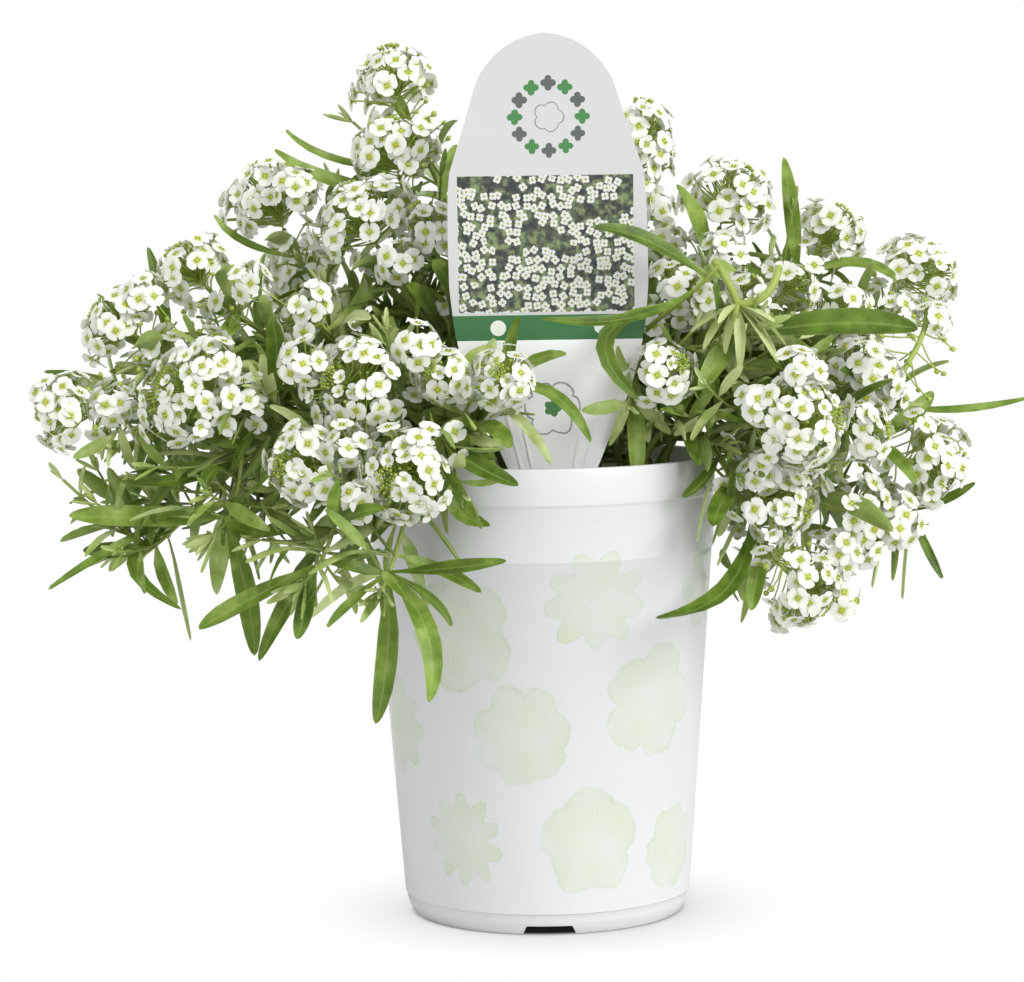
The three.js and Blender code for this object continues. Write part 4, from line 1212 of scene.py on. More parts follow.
def addTipBuds(guide, point, forward, count):
    flat = aroundTip(forward)
    for j in range(count):
        side = turned(flat, forward, j * goldenAngle)
        spot = tipBuds["ring"] * math.sqrt(j)
        place = point + side * spot + forward * (tipBuds["rise"] - tipBuds["dome"] * spot * spot)
        aim = unit(forward + side * tipBuds["lean"] * spot)
        guide.add(place, "bud", aim, None, tipBuds["size"], tipBuds["shade"])


def addTwig(guide, root, ahead, out, length, chance):
    darkest, rise, span = twig["shade"]
    shade = darkest + rise * (root[2] - twig["shadeFoot"]) / twig["shadeOver"] + chance.next() * span
    heading = unit(ahead * twig["along"] + out * twig["out"] + up * twig["up"])

    def along(s):
        return root + heading * length * s + up * length * twig["rise"] * s * s

    points = [along(s) for s in twig["joints"]]
    tip = points[-1]
    if keptOpen(tip) or not isOpen(points[1:]) or hidesBloom(points[2:]):
        return
    thin = tip[0] > twig["thinX"] or (tip[0] > twig["airyX"] and tip[2] > twig["airyZ"])
    if thin and chance.next() < twig["thinShare"]:
        return
    guide.line(points, shade + twig["stalkLighter"])
    for j in range(int(length / twig["leafGap"])):
        s = twig["leafPlaces"][0] + twig["leafPlaces"][1] * j * twig["leafGap"] / length
        forward = unit(heading + up * twig["leafRise"] * s)
        side = turned(aroundTip(forward), forward, j * goldenAngle)
        aim = unit(forward * twig["leafAlong"] + side * twig["leafOut"])
        size = chance.within(*twig["leafSize"]) * lerp(*twig["leafShrink"], s)
        point = along(s)
        draw = chance.next()
        tone = shade + chance.spread(twig["toneSway"])
        ends = leafEnds(point, aim, size)
        if isOpen(ends) and not hidesBloom(ends):
            kind = "arched" if draw > twig["archedFrom"] else "broad" if draw > twig["broadFrom"] else "long"
            upper = forward - aim * (forward @ aim)
            guide.add(point, kind, aim, np.cross(upper, aim), size, tone)
    addRosette(guide, tip, forward, twig["rosette"], 1.0, shade)
    if chance.next() < twig["budShare"]:
        addTipBuds(guide, tip, forward, twig["sideBuds"])


def twigDraws():
    # Each twig has draws of its own, so one left out changes no other.
    for number in itertools.count(1):
        chance = Draws(twig["seed"] + twig["seedStep"] * number)
        chance.next()
        yield chance


# where the longer leafy sprays end, and how much of the way they reach
spray = {
    "reach": 0.92,
    "ends": [
        (-138, -14, 128), (-132, 4, 120), (-124, 22, 128), (-136, 14, 140), (-118, -6, 114), (-108, 10, 118),
        (-112, -30, 122), (-94, 14, 110), (-104, 34, 122), (-84, 30, 116), (-76, -40, 118), (-70, -30, 106),
        (-64, -54, 116), (-56, -50, 108), (-122, -30, 134), (-92, -34, 128), (-80, -28, 128), (-50, -58, 118),
        (-110, -14, 134), (62, -30, 138), (84, -24, 132), (54, -26, 156), (70, -22, 160), (-24, -44, 140),
        (-34, -46, 128), (-142, -22, 132), (-141, -20, 121), (-128, -34, 118)],
}
sprayLists = [[] for _ in stemList]
for goal in spray["ends"]:
    goal = np.array(goal, float)
    _, i, t = min((math.dist(chordPoint(branch, t), goal), i, t)
                  for i, branch in enumerate(branches) for t in plant["rootPlaces"])
    sprayLists[branches[i]["owner"]].append((branches[i], t, goal))


def countFaces(start):
    return sum(len(o.data.polygons) for o in bpy.data.objects if o.name.startswith(start))


def addJunctionLeaves(guide):
    # A fan of leaves in front of the place where the pale stems meet.
    for k in range(junction["leaves"]):
        turn = k * junction["turn"]
        aim = unit(np.array([math.cos(turn) * 0.9, -0.35, -0.55 + 0.5 * math.sin(turn)]))
        kind = "broad" if k % 2 else "arched"
        size, shade = junction["size"] + 0.4 * (k % 3), junction["shade"] + 0.05 * (k % 4)
        guide.add(np.array(junction["at"]), kind, aim, np.cross(up, aim), size, shade)


twigChances = twigDraws()
for owner, growth in enumerate(growths):
    guide = Guide(leafKinds)
    if owner == junction["owner"]:
        addJunctionLeaves(guide)
    for branch, t, goal in sprayLists[owner]:
        root = chordPoint(branch, t)
        ahead = unit(goal - root)
        addTwig(guide, root, ahead, ahead, math.dist(root, goal) * spray["reach"], next(twigChances))
    for branch in branches:
        if branch["owner"] != owner:
            continue
        count = math.floor(branch["length"] * (twig["last"] - twig["first"]) / twig["gap"])
        for i in range(count):
            chance = next(twigChances)
            t = twig["first"] + (twig["last"] - twig["first"]) * (i + chance.next()) / count
            ahead = tangent(branch["curve"], t)
            out = turned(beside(ahead), ahead, (i + 0.5) * goldenAngle)
            length = chance.within(*twig["length"])
            addTwig(guide, chordPoint(branch, t), ahead, out, length, chance)
        tip = branch["curve"][3]
        if branch["head"] is None and not keptOpen(tip):
            ahead = tangent(branch["curve"], 1)
            addRosette(guide, tip, ahead, rosette["leaves"], rosette["size"], rosette["shade"])
            addTipBuds(guide, tip, ahead, twig["tipBuds"])
    base = newObject("stemBase", growth.toMesh("stemBase"))
    piece = grown(f"foliage_{owner + 1:02d}", guide.toMesh(), sprigTree, {
        "Base": base, "Parts": leafParts, "Stalk radius": twig["radius"] * metre, "Seed": owner,
        "Size spread": twig["sizeSpread"], "Skin": leafSkin, "Stalk skin": stemSkin})
    bpy.data.objects.remove(base)
    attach(piece, "root")
    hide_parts(f"stem_{owner + 1:02d}")
print("foliage:", countFaces("foliage_"), "faces")


# Flower heads. Levels are angles from a head's axis, and shares run from its crown to its skirt.
bloom = {
    "perArea": 0.034, "fewest": 11, "crown": 0.27, "skirt": 2.04, "lumps": 0.14, "size": 1.1, "facing": 0.33,
    "polarSway": 0.13, "aroundSway": 0.3, "youngOver": 5, "youngIn": 0.12, "youngSmaller": 0.4, "lift": 0.18,
    "out": 1.04, "loose": 0.26, "strays": 0.24, "strayOut": 0.14, "room": 2.6,
    "cuppedBelow": 0.45, "cuppedFrom": 0.9, "flatFrom": 0.5,
    "stalkBelow": 1.5, "stalkTop": 0.55, "rootFrom": 0.12, "rootOver": 0.8, "pedicelRadius": 0.24,
    "pedicelEnd": 1.2, "bendAt": 0.55, "bendBack": 1.4, "bendOut": 0.8, "seed": 9000,
}
crownBuds = {"count": 16, "ring": 3.3, "ringShare": 0.27, "rise": (0.86, 0.08), "dome": 0.055, "lean": 0.18,
             "size": 0.8}
gapBuds = {"perFloret": 0.9, "levels": (0.35, 1.8), "depth": (0.6, 0.26), "lift": 0.6, "size": 0.9, "root": 0.3}
trail = {"gap": 1.5, "florets": 13, "highest": 0.45, "missing": 0.25, "reach": 2.5, "reachShare": 0.55,
         "shorter": 0.03, "sway": 0.3, "margin": -1.5, "room": 2.8}
# heads drawn out sideways, and heads whose florets run farther down the stem
spreadHeads = {9: (1.3, 1, 0.8)}
longTrails = {18: 26, 0: 18, 2: 18, 16: 22}
# heads with young pods below them, counted from 1: from where along the stem, and how many
poddedHeads = {
    1: (0.80, 22), 2: (0.84, 12), 7: (0.82, 14), 9: (0.80, 14), 11: (0.66, 34), 22: (0.62, 34), 28: (0.82, 14),
    32: (0.84, 12),
}
pods = {"reach": (8.5, 4), "lift": 0.35, "droop": 0.6, "turnUp": 0.5, "sizes": (0.85, 0.3)}
# small clusters between the heads: head that carries it, centre, radius, florets
clusters = [
    (9, (-122, -22, 152), 6, 9), (9, (-85, -38, 152), 8, 14), (18, (54, 8, 190), 7, 12),
    (22, (94, -14, 156), 9, 18), (22, (90, 0, 175), 6, 9), (21, (106, 8, 173), 6, 9),
    (30, (102, -22, 114), 7, 12), (31, (85, -26, 107), 6, 10), (26, (72, -48, 160), 6, 8),
    (11, (-66, -46, 164), 6, 9), (12, (-35, -48, 168), 6, 9), (2, (-71, 12, 212), 6, 9),
    (10, (-139, -24, 153), 6, 8), (14, (-54, -60, 141), 6, 9), (16, (34, 14, 204), 6, 9),
    (16, (37, 14, 194), 6, 8), (21, (115, 4, 171), 5, 7), (29, (61, -38, 130), 6, 9),
    (31, (85, -26, 93), 5, 7), (7, (-82, -20, 186), 5, 6), (8, (-113, -14, 182), 6, 8),
    (4, (-40, -12, 190), 6, 9), (15, (-50, -64, 127), 5, 7), (26, (60, -48, 150), 5, 7),
    (22, (100, -12, 150), 6, 8),
]
cluster = {"stem": 0.8, "foot": 0.9, "levels": (1.0, -0.15), "aroundSway": 0.4, "depth": (0.8, 0.35),
           "lift": 0.25, "room": 3, "turnOver": 200, "forward": 0.8, "up": 0.45}


def swayed(aim, amount, chance):
    return unit(aim + np.array([chance.spread(amount) for _ in range(3)]))


def inRoom(point, room):
    return ((point > low + room) & (point < high - room)).all()


def headGuide(headIndex, chance, podded):
    head = heads[headIndex]
    axis, a, b = head["axis"], head["a"], head["b"]
    across = beside(axis)
    other = np.cross(axis, across)
    spread = np.array(spreadHeads.get(headIndex, (1, 1, 1)), float)

    def flatAt(around):
        return across * math.cos(around) + other * math.sin(around)

    def place(polar, around, share):
        flat = flatAt(around)
        out = flat * math.sin(polar) * a + axis * math.cos(polar) * b
        normal = unit(flat * math.sin(polar) / a + axis * math.cos(polar) / b)
        return head["centre"] + out * share * spread, normal, flat

    def addFloret(point, facing, size, kind):
        guide.add(point, kind, facing, flatAt(chance.next() * fullTurn), size)

    guide = Guide(blossomKinds)
    phase = chance.next() * fullTurn
    stalkFoot = head["foot"] - axis * bloom["stalkBelow"]
    stalkTop = head["centre"] + axis * b * bloom["stalkTop"]
    guide.line([lerp(stalkFoot, stalkTop, t) for t in (0, 0.35, 0.7, 1)])
    crown, skirt = math.cos(bloom["crown"]), math.cos(bloom["skirt"])
    area = fullTurn * a * (0.45 * a + 0.55 * b) * (crown - skirt)
    count = max(bloom["fewest"], round(area * bloom["perArea"]))
    for k in range(count):
        share = (k + 0.5) / count
        polar = math.acos(lerp(crown, skirt, share)) + chance.spread(bloom["polarSway"])
        around = k * goldenAngle + chance.spread(bloom["aroundSway"])
        young = max(0, 1 - share * bloom["youngOver"])
        lump = 1 + bloom["lumps"] * math.sin(2 * around + phase) * math.sin(polar * 2 + phase * 0.5)
        stray = bloom["strayOut"] if chance.next() < bloom["strays"] * share * 2 else 0
        depth = bloom["out"] - young * bloom["youngIn"] - chance.next() * bloom["loose"] + stray
        point, normal, flat = place(polar, around, depth * lump)
        facing = swayed(normal + axis * bloom["lift"], bloom["facing"], chance)
        draw = chance.next()
        if not inRoom(point, bloom["room"]):
            continue
        isCupped = young > bloom["cuppedBelow"] or draw > bloom["cuppedFrom"]
        kind = "cupped" if isCupped else "flat" if draw > bloom["flatFrom"] else "open"
        addFloret(point, facing, bloom["size"] * (1 - young * bloom["youngSmaller"]), kind)
        root = lerp(stalkFoot, stalkTop, bloom["rootFrom"] + bloom["rootOver"] * (1 - share))
        back = point - facing * bloom["pedicelEnd"]
        bend = lerp(root, back, bloom["bendAt"]) + (facing * -bloom["bendBack"] + flat * bloom["bendOut"])
        guide.line([root, lerp(root, bend, bloom["bendAt"]) + flat * (bloom["bendOut"] / 2), bend, back])
    # the crown's young buds
    budCount = round(crownBuds["count"] + a)
    for k in range(budCount):
        spot = math.sqrt((k + 0.5) / budCount) * min(crownBuds["ring"], crownBuds["ringShare"] * a)
        flat = flatAt(k * goldenAngle)
        rise = b * chance.within(*crownBuds["rise"]) - crownBuds["dome"] * spot * spot
        point = head["centre"] + axis * rise + flat * spot
        size = crownBuds["size"] * (0.6 + 0.6 * k / budCount)
        guide.add(point, "bud", unit(axis + flat * crownBuds["lean"] * spot), None, size)
    # unopened buds in the gaps between the florets
    for k in range(round(count * gapBuds["perFloret"])):
        polar = lerp(*gapBuds["levels"], chance.next())
        around = chance.next() * fullTurn
        point, normal, flat = place(polar, around, chance.within(*gapBuds["depth"]))
        guide.add(point, "bud", unit(normal + axis * gapBuds["lift"]), None, gapBuds["size"])
        guide.line([lerp(stalkFoot, stalkTop, gapBuds["root"]), point])
    # older florets that run on down the stem
    stem = branches[branchOfHead[headIndex]]
    for k in range(longTrails.get(headIndex, trail["florets"])):
        t = 1 - (k + 0.5) * trail["gap"] / stem["length"]
        if t < trail["highest"] or chance.next() < trail["missing"]:
            continue
        root = bezier(stem["curve"], [t])[0]
        ahead = tangent(stem["curve"], t)
        out = turned(unit(np.cross(ahead, aslant)), ahead, k * goldenAngle)
        reach = (a * trail["reachShare"] + trail["reach"]) * (1 - trail["shorter"] * k) + chance.next() * 2
        point = root + unit(out + ahead * 0.55) * reach
        if isOpen([point], trail["margin"], trail["room"]):
            guide.line([root, lerp(root, point, 0.6) + ahead * 0.6, point - out * 0.9])
            addFloret(point, swayed(out + ahead * 0.5, trail["sway"], chance), bloom["size"], "open")
    for owner, centre, radius, florets in clusters:
        if owner == headIndex:
            addCluster(guide, stem, np.array(centre, float), radius, florets, chance)
    if podded:
        addPods(guide, stem, *podded, chance)
    if headIndex == podStalk["head"]:
        addPods(guide, podStalk, podStalk["start"], podStalk["pods"], chance)
    return guide


def addCluster(guide, stem, centre, radius, florets, chance):
    # A loose half ball of florets that face outwards and forwards, on a stalk from the head's stem.
    ahead = unit(np.array([centre[0] / cluster["turnOver"], -cluster["forward"], cluster["up"]]))
    across = unit(np.cross(ahead, up))
    other = np.cross(ahead, across)
    root = centre - ahead * radius * cluster["foot"]
    guide.line([bezier(stem["curve"], [cluster["stem"]])[0], root])
    for k in range(florets):
        level = lerp(*cluster["levels"], (k + 0.5) / florets)
        around = k * goldenAngle + chance.spread(cluster["aroundSway"])
        flat = across * math.cos(around) + other * math.sin(around)
        aim = flat * math.sqrt(1 - level * level) + ahead * level
        point = centre + aim * radius * chance.within(*cluster["depth"])
        facing = swayed(aim + ahead * cluster["lift"], bloom["facing"], chance)
        if inRoom(point, cluster["room"]):
            guide.add(point, "open" if k % 3 else "flat", facing, flat, bloom["size"])
            guide.line([root, lerp(root, point, 0.6) + ahead, point - facing * bloom["pedicelEnd"]])


def addPods(guide, branch, start, count, chance):
    for k in range(count):
        t = lerp(start, 1.0, (k + 0.5) / count)
        root = bezier(branch["curve"], [t])[0]
        ahead = tangent(branch["curve"], t)
        out = turned(beside(ahead), ahead, k * goldenAngle)
        reach = chance.within(*pods["reach"])
        tip = root + unit(out + ahead * pods["lift"]) * reach - up * pods["droop"]
        guide.line([root, lerp(root, tip, 0.5) + ahead * 0.5, tip])
        size = chance.within(*pods["sizes"])
        guide.add(tip, "pod", unit(out + up * pods["turnUp"]), None, size)


branchOfHead = {branch["head"]: i for i, branch in enumerate(branches) if branch["head"] is not None}
for i, head in enumerate(heads):
    guide = headGuide(i, Draws(bloom["seed"] + i), poddedHeads.get(i + 1))
    piece = grown(f"blossom_{i + 1:02d}", guide.toMesh(), sprigTree, {
        "Parts": blossomParts, "Stalk radius": bloom["pedicelRadius"] * metre, "Seed": i,
        "Skin": petalSkin, "Stalk skin": greenSkin})
    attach(piece, "root")
    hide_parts(f"head_{i + 1:02d}")
print("heads:", len(heads), "with", countFaces("blossom_"), "faces")


def plainMesh(name, work):
    mesh = bpy.data.meshes.new(name)
    work.to_mesh(mesh)
    work.free()
    return mesh


def lathe(profile, segments):
    turns = [k * fullTurn / segments for k in range(segments)]
    points = [(r * math.cos(turn), r * math.sin(turn), z) for r, z in profile for turn in turns]
    faces = []
    for i in range(len(profile) - 1):
        for k in range(segments):
            n = (k + 1) % segments
            faces.append((i * segments + k, i * segments + n, (i + 1) * segments + n, (i + 1) * segments + k))
    mesh = meshFrom("lathe", points, faces)
    work = bmesh.new()
    work.from_mesh(mesh)
    bmesh.ops.remove_doubles(work, verts=work.verts, dist=1e-6)
    work.to_mesh(mesh)
    work.free()
    return finishShape(mesh, crisp["lathe"])


def potProfile():
    # From the underside out to the foot, up the outside, over the brim and down the inside.
    band, top, ledge = pot["height"] - pot["band"], pot["height"], pot["ledge"]
    step = pot["ledgeRadius"] + pot["ledgeStep"]
    floorTop = pot["underside"] + pot["floor"]
    foot, heel, rim, wall = pot["foot"], pot["heel"], pot["rim"], pot["wall"]
    ring = foot - pot["footRing"]
    return [
        (0, pot["underside"]), (ring - 1, pot["underside"]), (ring, 0.3), (ring + 0.3, 0), (foot - 0.5, 0),
        (foot, 0.35), (heel - 0.95, pot["heelHeight"] - 1.3), (heel - 0.5, pot["heelHeight"]),
        (heel - 0.42, pot["seam"] - 0.35), (heel - 0.1, pot["seam"]), (heel + 0.12, pot["seam"] + 0.12),
        (pot["ledgeRadius"], ledge - 0.5), (step - 0.1, ledge - 0.1), (step, ledge + 0.3),
        (step + 0.1, band - 0.2), (step + 0.25, band + 0.1), (rim - 0.1, band + 0.4), (rim, band + 0.9),
        (rim - 0.05, top - 0.9), (rim - 0.3, top - 0.25), (rim - 0.8, top), (rim - wall - 0.1, top - 0.15),
        (rim - wall - 0.4, top - 0.7), (pot["ledgeRadius"] - wall, ledge), (heel - wall, floorTop),
        (0, floorTop),
    ]


def addPrism(work, near, far):
    # A closed block between two outlines with the same number of corners.
    near, far = ([work.verts.new(point) for point in outline] for outline in (near, far))
    work.faces.new(near)
    work.faces.new(list(reversed(far)))
    for j in range(len(near)):
        k = (j + 1) % len(near)
        work.faces.new((near[j], far[j], far[k], near[k]))


def makePot():
    shell = newObject("nurseryPot", lathe(potProfile(), pot["segments"]))
    cutter = bmesh.new()
    half, deep, flare = pot["notchWidth"] / 2, pot["notchHeight"], pot["notchFlare"]
    corners = [(-half - flare, -1), (half + flare, -1), (half, deep), (-half, deep)]
    for k in range(pot["notches"]):
        turn = Matrix.Rotation(k * fullTurn / pot["notches"], 4, "Z")
        near, far = ([turn @ Vector((x, depth - pot["foot"], z)) * metre for x, z in corners]
                     for depth in pot["notchReach"])
        addPrism(cutter, near, far)
    for k in range(pot["drains"]):
        turn = math.pi / 4 + k * fullTurn / pot["drains"]
        place = Matrix.Translation(Vector((math.cos(turn), math.sin(turn), 0)) * pot["drainRing"] * metre)
        lift = Matrix.Translation((0, 0, pot["drainDepth"] / 2 * metre))
        radius = pot["drainRadius"] * metre
        bmesh.ops.create_cone(cutter, cap_ends=True, segments=24, radius1=radius, radius2=radius,
                              depth=pot["drainDepth"] * metre, matrix=place @ lift)
    bmesh.ops.recalc_face_normals(cutter, faces=cutter.faces)
    cuts = newObject("cuts", plainMesh("cuts", cutter))
    modifier = shell.modifiers.new("cuts", "BOOLEAN")
    modifier.object = cuts
    modifier.solver = "EXACT"
    shell.data = finishShape(plainResult(shell), crisp["lathe"])
    bpy.data.objects.remove(cuts)
    return shell


# Printed blossoms. Motifs: degrees round the pot from its front, height, radius, lobes, depth, turn, roundness.
printing = {
    "colour": (0.60, 0.665, 0.53), "ray": (0.72, 0.765, 0.67), "line": (0.50, 0.575, 0.43),
    "radiusAtPrint": 46, "rayShare": 0.75, "lineShare": 0.55, "unevenScale": 0.16, "uneven": 0.36,
    "softEdge": 0.035, "lineIn": 0.05, "raysPerLobe": 3.5, "rayThin": 6.0, "rayFade": (0.15, 0.75),
    "motifs": [
        (-31, 86, 17, 5, 0.20, 0.5, 0.8), (17, 96, 15, 9, 0.30, 0.2, 1.2), (41, 66, 17, 5, 0.24, 0.0, 0.7),
        (-9, 58, 15, 7, 0.16, 0.75, 0.9), (16, 27, 16, 5, 0.20, 0.9, 0.8), (-34, 27, 14, 10, 0.34, 0.3, 1.3),
        (56, 22, 13, 7, 0.18, 0.4, 0.9), (70, 97, 13, 5, 0.24, 0.6, 0.7), (-68, 58, 15, 9, 0.30, 0.1, 1.2)],
}


def makeMotif():
    # One printed blossom silhouette on a flat sheet: 1 inside, 0 outside, with rays and a line along its edge.
    tree, given, result = newGroup(
        "printedBlossom", "ShaderNodeTree",
        [("X", "Float"), ("Y", "Float"), ("Centre X", "Float"), ("Centre Y", "Float"),
         ("Radius", "Float", 15.0), ("Lobes", "Float", 5.0), ("Depth", "Float", 0.2), ("Turn", "Float"),
         ("Point", "Float", 0.5)],
        [("Mask", "Float"), ("Ray", "Float"), ("Line", "Float")])
    dx, dy = minus(given["X"], given["Centre X"]), minus(given["Y"], given["Centre Y"])
    far = calc("DIVIDE", farFrom(dx, dy), given["Radius"])
    angle = plus(calc("ARCTAN2", dy, dx), given["Turn"])
    wave = calc("ABSOLUTE", calc("COSINE", times(angle, times(given["Lobes"], 0.5))))
    place = outOf(tree, "ShaderNodeCombineXYZ", {0: given["X"], 1: given["Y"], 2: given["Radius"]})
    uneven = minus(noise(place, printing["unevenScale"], 3.0), 0.5)
    lobe = plus(times(calc("POWER", wave, given["Point"]), given["Depth"]), times(uneven, printing["uneven"]))
    within = minus(plus(minus(1.0, given["Depth"]), lobe), far)
    rays = calc("COSINE", times(angle, times(given["Lobes"], printing["raysPerLobe"])))
    rays = calc("POWER", calc("ABSOLUTE", rays), printing["rayThin"])
    rays = times(rays, ranged(far, *printing["rayFade"], 1.0, 0.0))
    line = calc("ABSOLUTE", minus(within, printing["lineIn"]))
    tree.links.new(ranged(line, 0.0, printing["lineIn"], 1.0, 0.0), result["Line"])
    tree.links.new(ranged(within, 0.0, printing["softEdge"]), result["Mask"])
    tree.links.new(rays, result["Ray"])
    return tree


printedBlossom = makeMotif()


def stamped(x, y, values):
    # The mask, rays and line of one printed blossom.
    names = ("Centre X", "Centre Y", "Radius", "Lobes", "Depth", "Turn", "Point")
    made = put(x.id_data, "ShaderNodeGroup", {"X": x, "Y": y, **dict(zip(names, values))},
               node_tree=printedBlossom).outputs
    return made["Mask"], made["Ray"], made["Line"]


potLook = {
    "broad": 22.0, "fine": 900.0, "bump": 0.03, "through": 0.14, "glow": (0.86, 0.88, 0.86), "glowShare": 1.0,
    "surface": {"Roughness": 0.27, "Specular IOR Level": 0.5, "Coat Weight": 0.15, "Coat Roughness": 0.2},
    "whites": ((0.665, 0.675, 0.69), (0.705, 0.715, 0.725)), "upper": 0.985, "paintedShadeFade": 0.6,
    "outside": (0.0739, 0.0408), "mottles": 110.0, "mottled": (0.32, 0.68, 0.35, 1.0),
    "specks": 420.0, "speckSpan": (0.70, 0.76), "speckShare": 0.35, "speck": (0.45, 0.40, 0.33),
}


def makePotMaterial(look):
    material, tree, place = newMaterial("whitePotPlastic")
    broad, fine = variation(place, look)
    x, y, z = split(place)
    # the wall unrolled, in millimetres, and repeated on the far side
    turn = calc("ARCTAN2", x, times(y, -1.0))
    along = times(calc("WRAP", turn, math.pi / 2, -math.pi / 2), printing["radiusAtPrint"])
    height = times(z, 1000.0)
    mask, ray, line = 0.0, 0.0, 0.0
    for degrees, *values in printing["motifs"]:
        centre = math.radians(degrees) * printing["radiusAtPrint"]
        inside, itsRay, itsLine = stamped(along, height, [centre, *values])
        mask = calc("MAXIMUM", inside, mask)
        ray = calc("MAXIMUM", times(itsRay, inside), ray)
        line = calc("MAXIMUM", times(itsLine, inside), line)
    # printed on the outside of the wall only, and washed out in places
    slope, foot = look["outside"]
    mask = times(mask, calc("GREATER_THAN", farFrom(x, y), plus(times(z, slope), foot)))
    ink = times(mask, ranged(noise(place, look["mottles"], 5.0), *look["mottled"]))
    white = blend(broad, *look["whites"])
    # painted shade: the wall above the ledge is made a little darker, to even out how the light falls above and
    # below it
    upper = ranged(height, pot["ledge"] - look["paintedShadeFade"], pot["ledge"], 1.0, look["upper"])
    white = blend(1.0, white, upper, "MULTIPLY")
    printed = blend(times(ray, printing["rayShare"]), printing["colour"], printing["ray"])
    printed = blend(times(line, printing["lineShare"]), printed, printing["line"])
    colour = blend(ink, white, printed)
    # small scuffs and splashes of soil
    specks = ranged(noise(place, look["specks"], 5.0), *look["speckSpan"])
    finishMaterial(tree, look, blend(times(specks, look["speckShare"]), colour, look["speck"]), fine)
    return material


potPiece = makePot()
potPiece.data.materials.clear()
potPiece.data.materials.append(makePotMaterial(potLook))
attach(potPiece, "root")
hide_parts("pot")
print("pot:", len(potPiece.data.polygons), "faces")


grain = {"peat": 0, "bark": 1, "perlite": 2}
soilLook = {
    "broad": 240.0, "fine": 1300.0, "bump": 1.0, "through": 0, "surface": {"Roughness": 0.92},
    "peat": [(0.3, (0.016, 0.010, 0.006)), (0.55, (0.045, 0.028, 0.017)), (0.8, (0.10, 0.066, 0.040))],
    "bark": ((0.10, 0.060, 0.032), (0.23, 0.150, 0.085)), "perlite": ((0.66, 0.65, 0.61), (0.84, 0.83, 0.80)),
}


def makeSoilMaterial(look):
    material, tree, place = newMaterial("pottingSoil")
    broad, fine = variation(place, look)
    kind = attribute(tree, "grain")
    colour = blend(isKind(kind, grain["bark"]), colourRamp(broad, look["peat"]), blend(fine, *look["bark"]))
    colour = blend(isKind(kind, grain["perlite"]), colour, blend(fine, *look["perlite"]))
    finishMaterial(tree, look, colour, fine)
    return material


def lumpMesh(name, radius, flat, long, kind):
    work = bmesh.new()
    bmesh.ops.create_icosphere(work, subdivisions=1, radius=radius * metre)
    shape = Draws(sum(map(ord, name)))
    for vert in work.verts:
        vert.co *= 0.75 + shape.next() * 0.5
        vert.co.x *= long
        vert.co.z *= flat
    mesh = plainMesh(name, work)
    mark(mesh, "grain", "FACE", [grain[kind]] * len(mesh.polygons))
    return mesh


# each: radius, how flat, how long, and what it is
lumps = {
    "a_crumb": (1.0, 0.8, 1.0, "peat"), "b_crumb": (1.5, 0.7, 1.2, "peat"),
    "c_crumb": (0.7, 0.9, 1.0, "peat"), "d_bark": (0.9, 0.4, 3.0, "bark"),
    "e_crumb": (1.2, 0.7, 1.4, "peat"), "f_perlite": (0.9, 0.9, 1.1, "perlite"),
}
crumbs, _ = patternSet("crumbPatterns", [(label, lumpMesh(label, *values)) for label, values in lumps.items()])


def makeCrumbTree():
    tree, given, result = newGroup(
        "soilCrumbs", "GeometryNodeTree",
        [("Geometry", "Geometry"), ("Crumbs", "Collection"), ("Density", "Float", 100.0), ("Seed", "Int", 1),
         ("Smallest", "Float", 0.5), ("Largest", "Float", 1.3), ("Finish", "Material")],
        [("Geometry", "Geometry")])
    upward = split(outOf(tree, "GeometryNodeInputNormal"))[2]
    isTop = calc("GREATER_THAN", upward, 0.6)
    spread = outOf(tree, "GeometryNodeDistributePointsOnFaces", {
        "Mesh": given["Geometry"], "Selection": isTop, "Density": given["Density"], "Seed": given["Seed"]})
    turn = outOf(tree, "FunctionNodeRandomValue", {
        0: (-0.5, -0.5, 0.0), 1: (0.5, 0.5, fullTurn), "Seed": given["Seed"]}, data_type="FLOAT_VECTOR")
    size = put(tree, "FunctionNodeRandomValue", {
        2: given["Smallest"], 3: given["Largest"], "Seed": given["Seed"]}, data_type="FLOAT").outputs[1]
    placed = outOf(tree, "GeometryNodeInstanceOnPoints", {
        "Points": spread, "Instance": eachOf(tree, given["Crumbs"]), "Pick Instance": True,
        "Rotation": outOf(tree, "FunctionNodeEulerToRotation", {0: turn}), "Scale": size})
    dressed(tree, (given["Geometry"], placed), [(given["Finish"], True)], result)
    return tree


def makeSoilBody():
    foot = pot["underside"] + pot["floor"] + soil["fit"]
    gap = pot["wall"] + 2 * soil["fit"]
    side, brim = pot["heel"] - gap, pot["ledgeRadius"] - gap
    top, swell = soil["top"], soil["swell"]
    profile = [(0, foot), (side, foot), (brim, pot["ledge"]), (brim, top - swell - soil["edgeDrop"])]
    for k in range(1, soil["rings"]):
        r = brim * (1 - k / soil["rings"])
        profile.append((r, top - swell * (r / brim) ** 2 - soil["drop"]))
    mesh = lathe(profile + [(0, top)], soil["segments"])
    rises = Draws(soil["seed"])
    for vertex in mesh.vertices:
        if vertex.co.z > (top - 4) * metre and vertex.co.xy.length < (brim - 1) * metre:
            vertex.co.z += rises.spread(soil["lumps"]) * metre
    return mesh


soilPiece = grown("pottingSoil", makeSoilBody(), makeCrumbTree(), {
    "Crumbs": crumbs, "Density": soil["crumbs"] / soil["area"], "Seed": soil["seed"],
    "Finish": makeSoilMaterial(soilLook)})
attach(soilPiece, "root")
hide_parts("soil")
print("soil:", len(soilPiece.data.polygons), "faces")


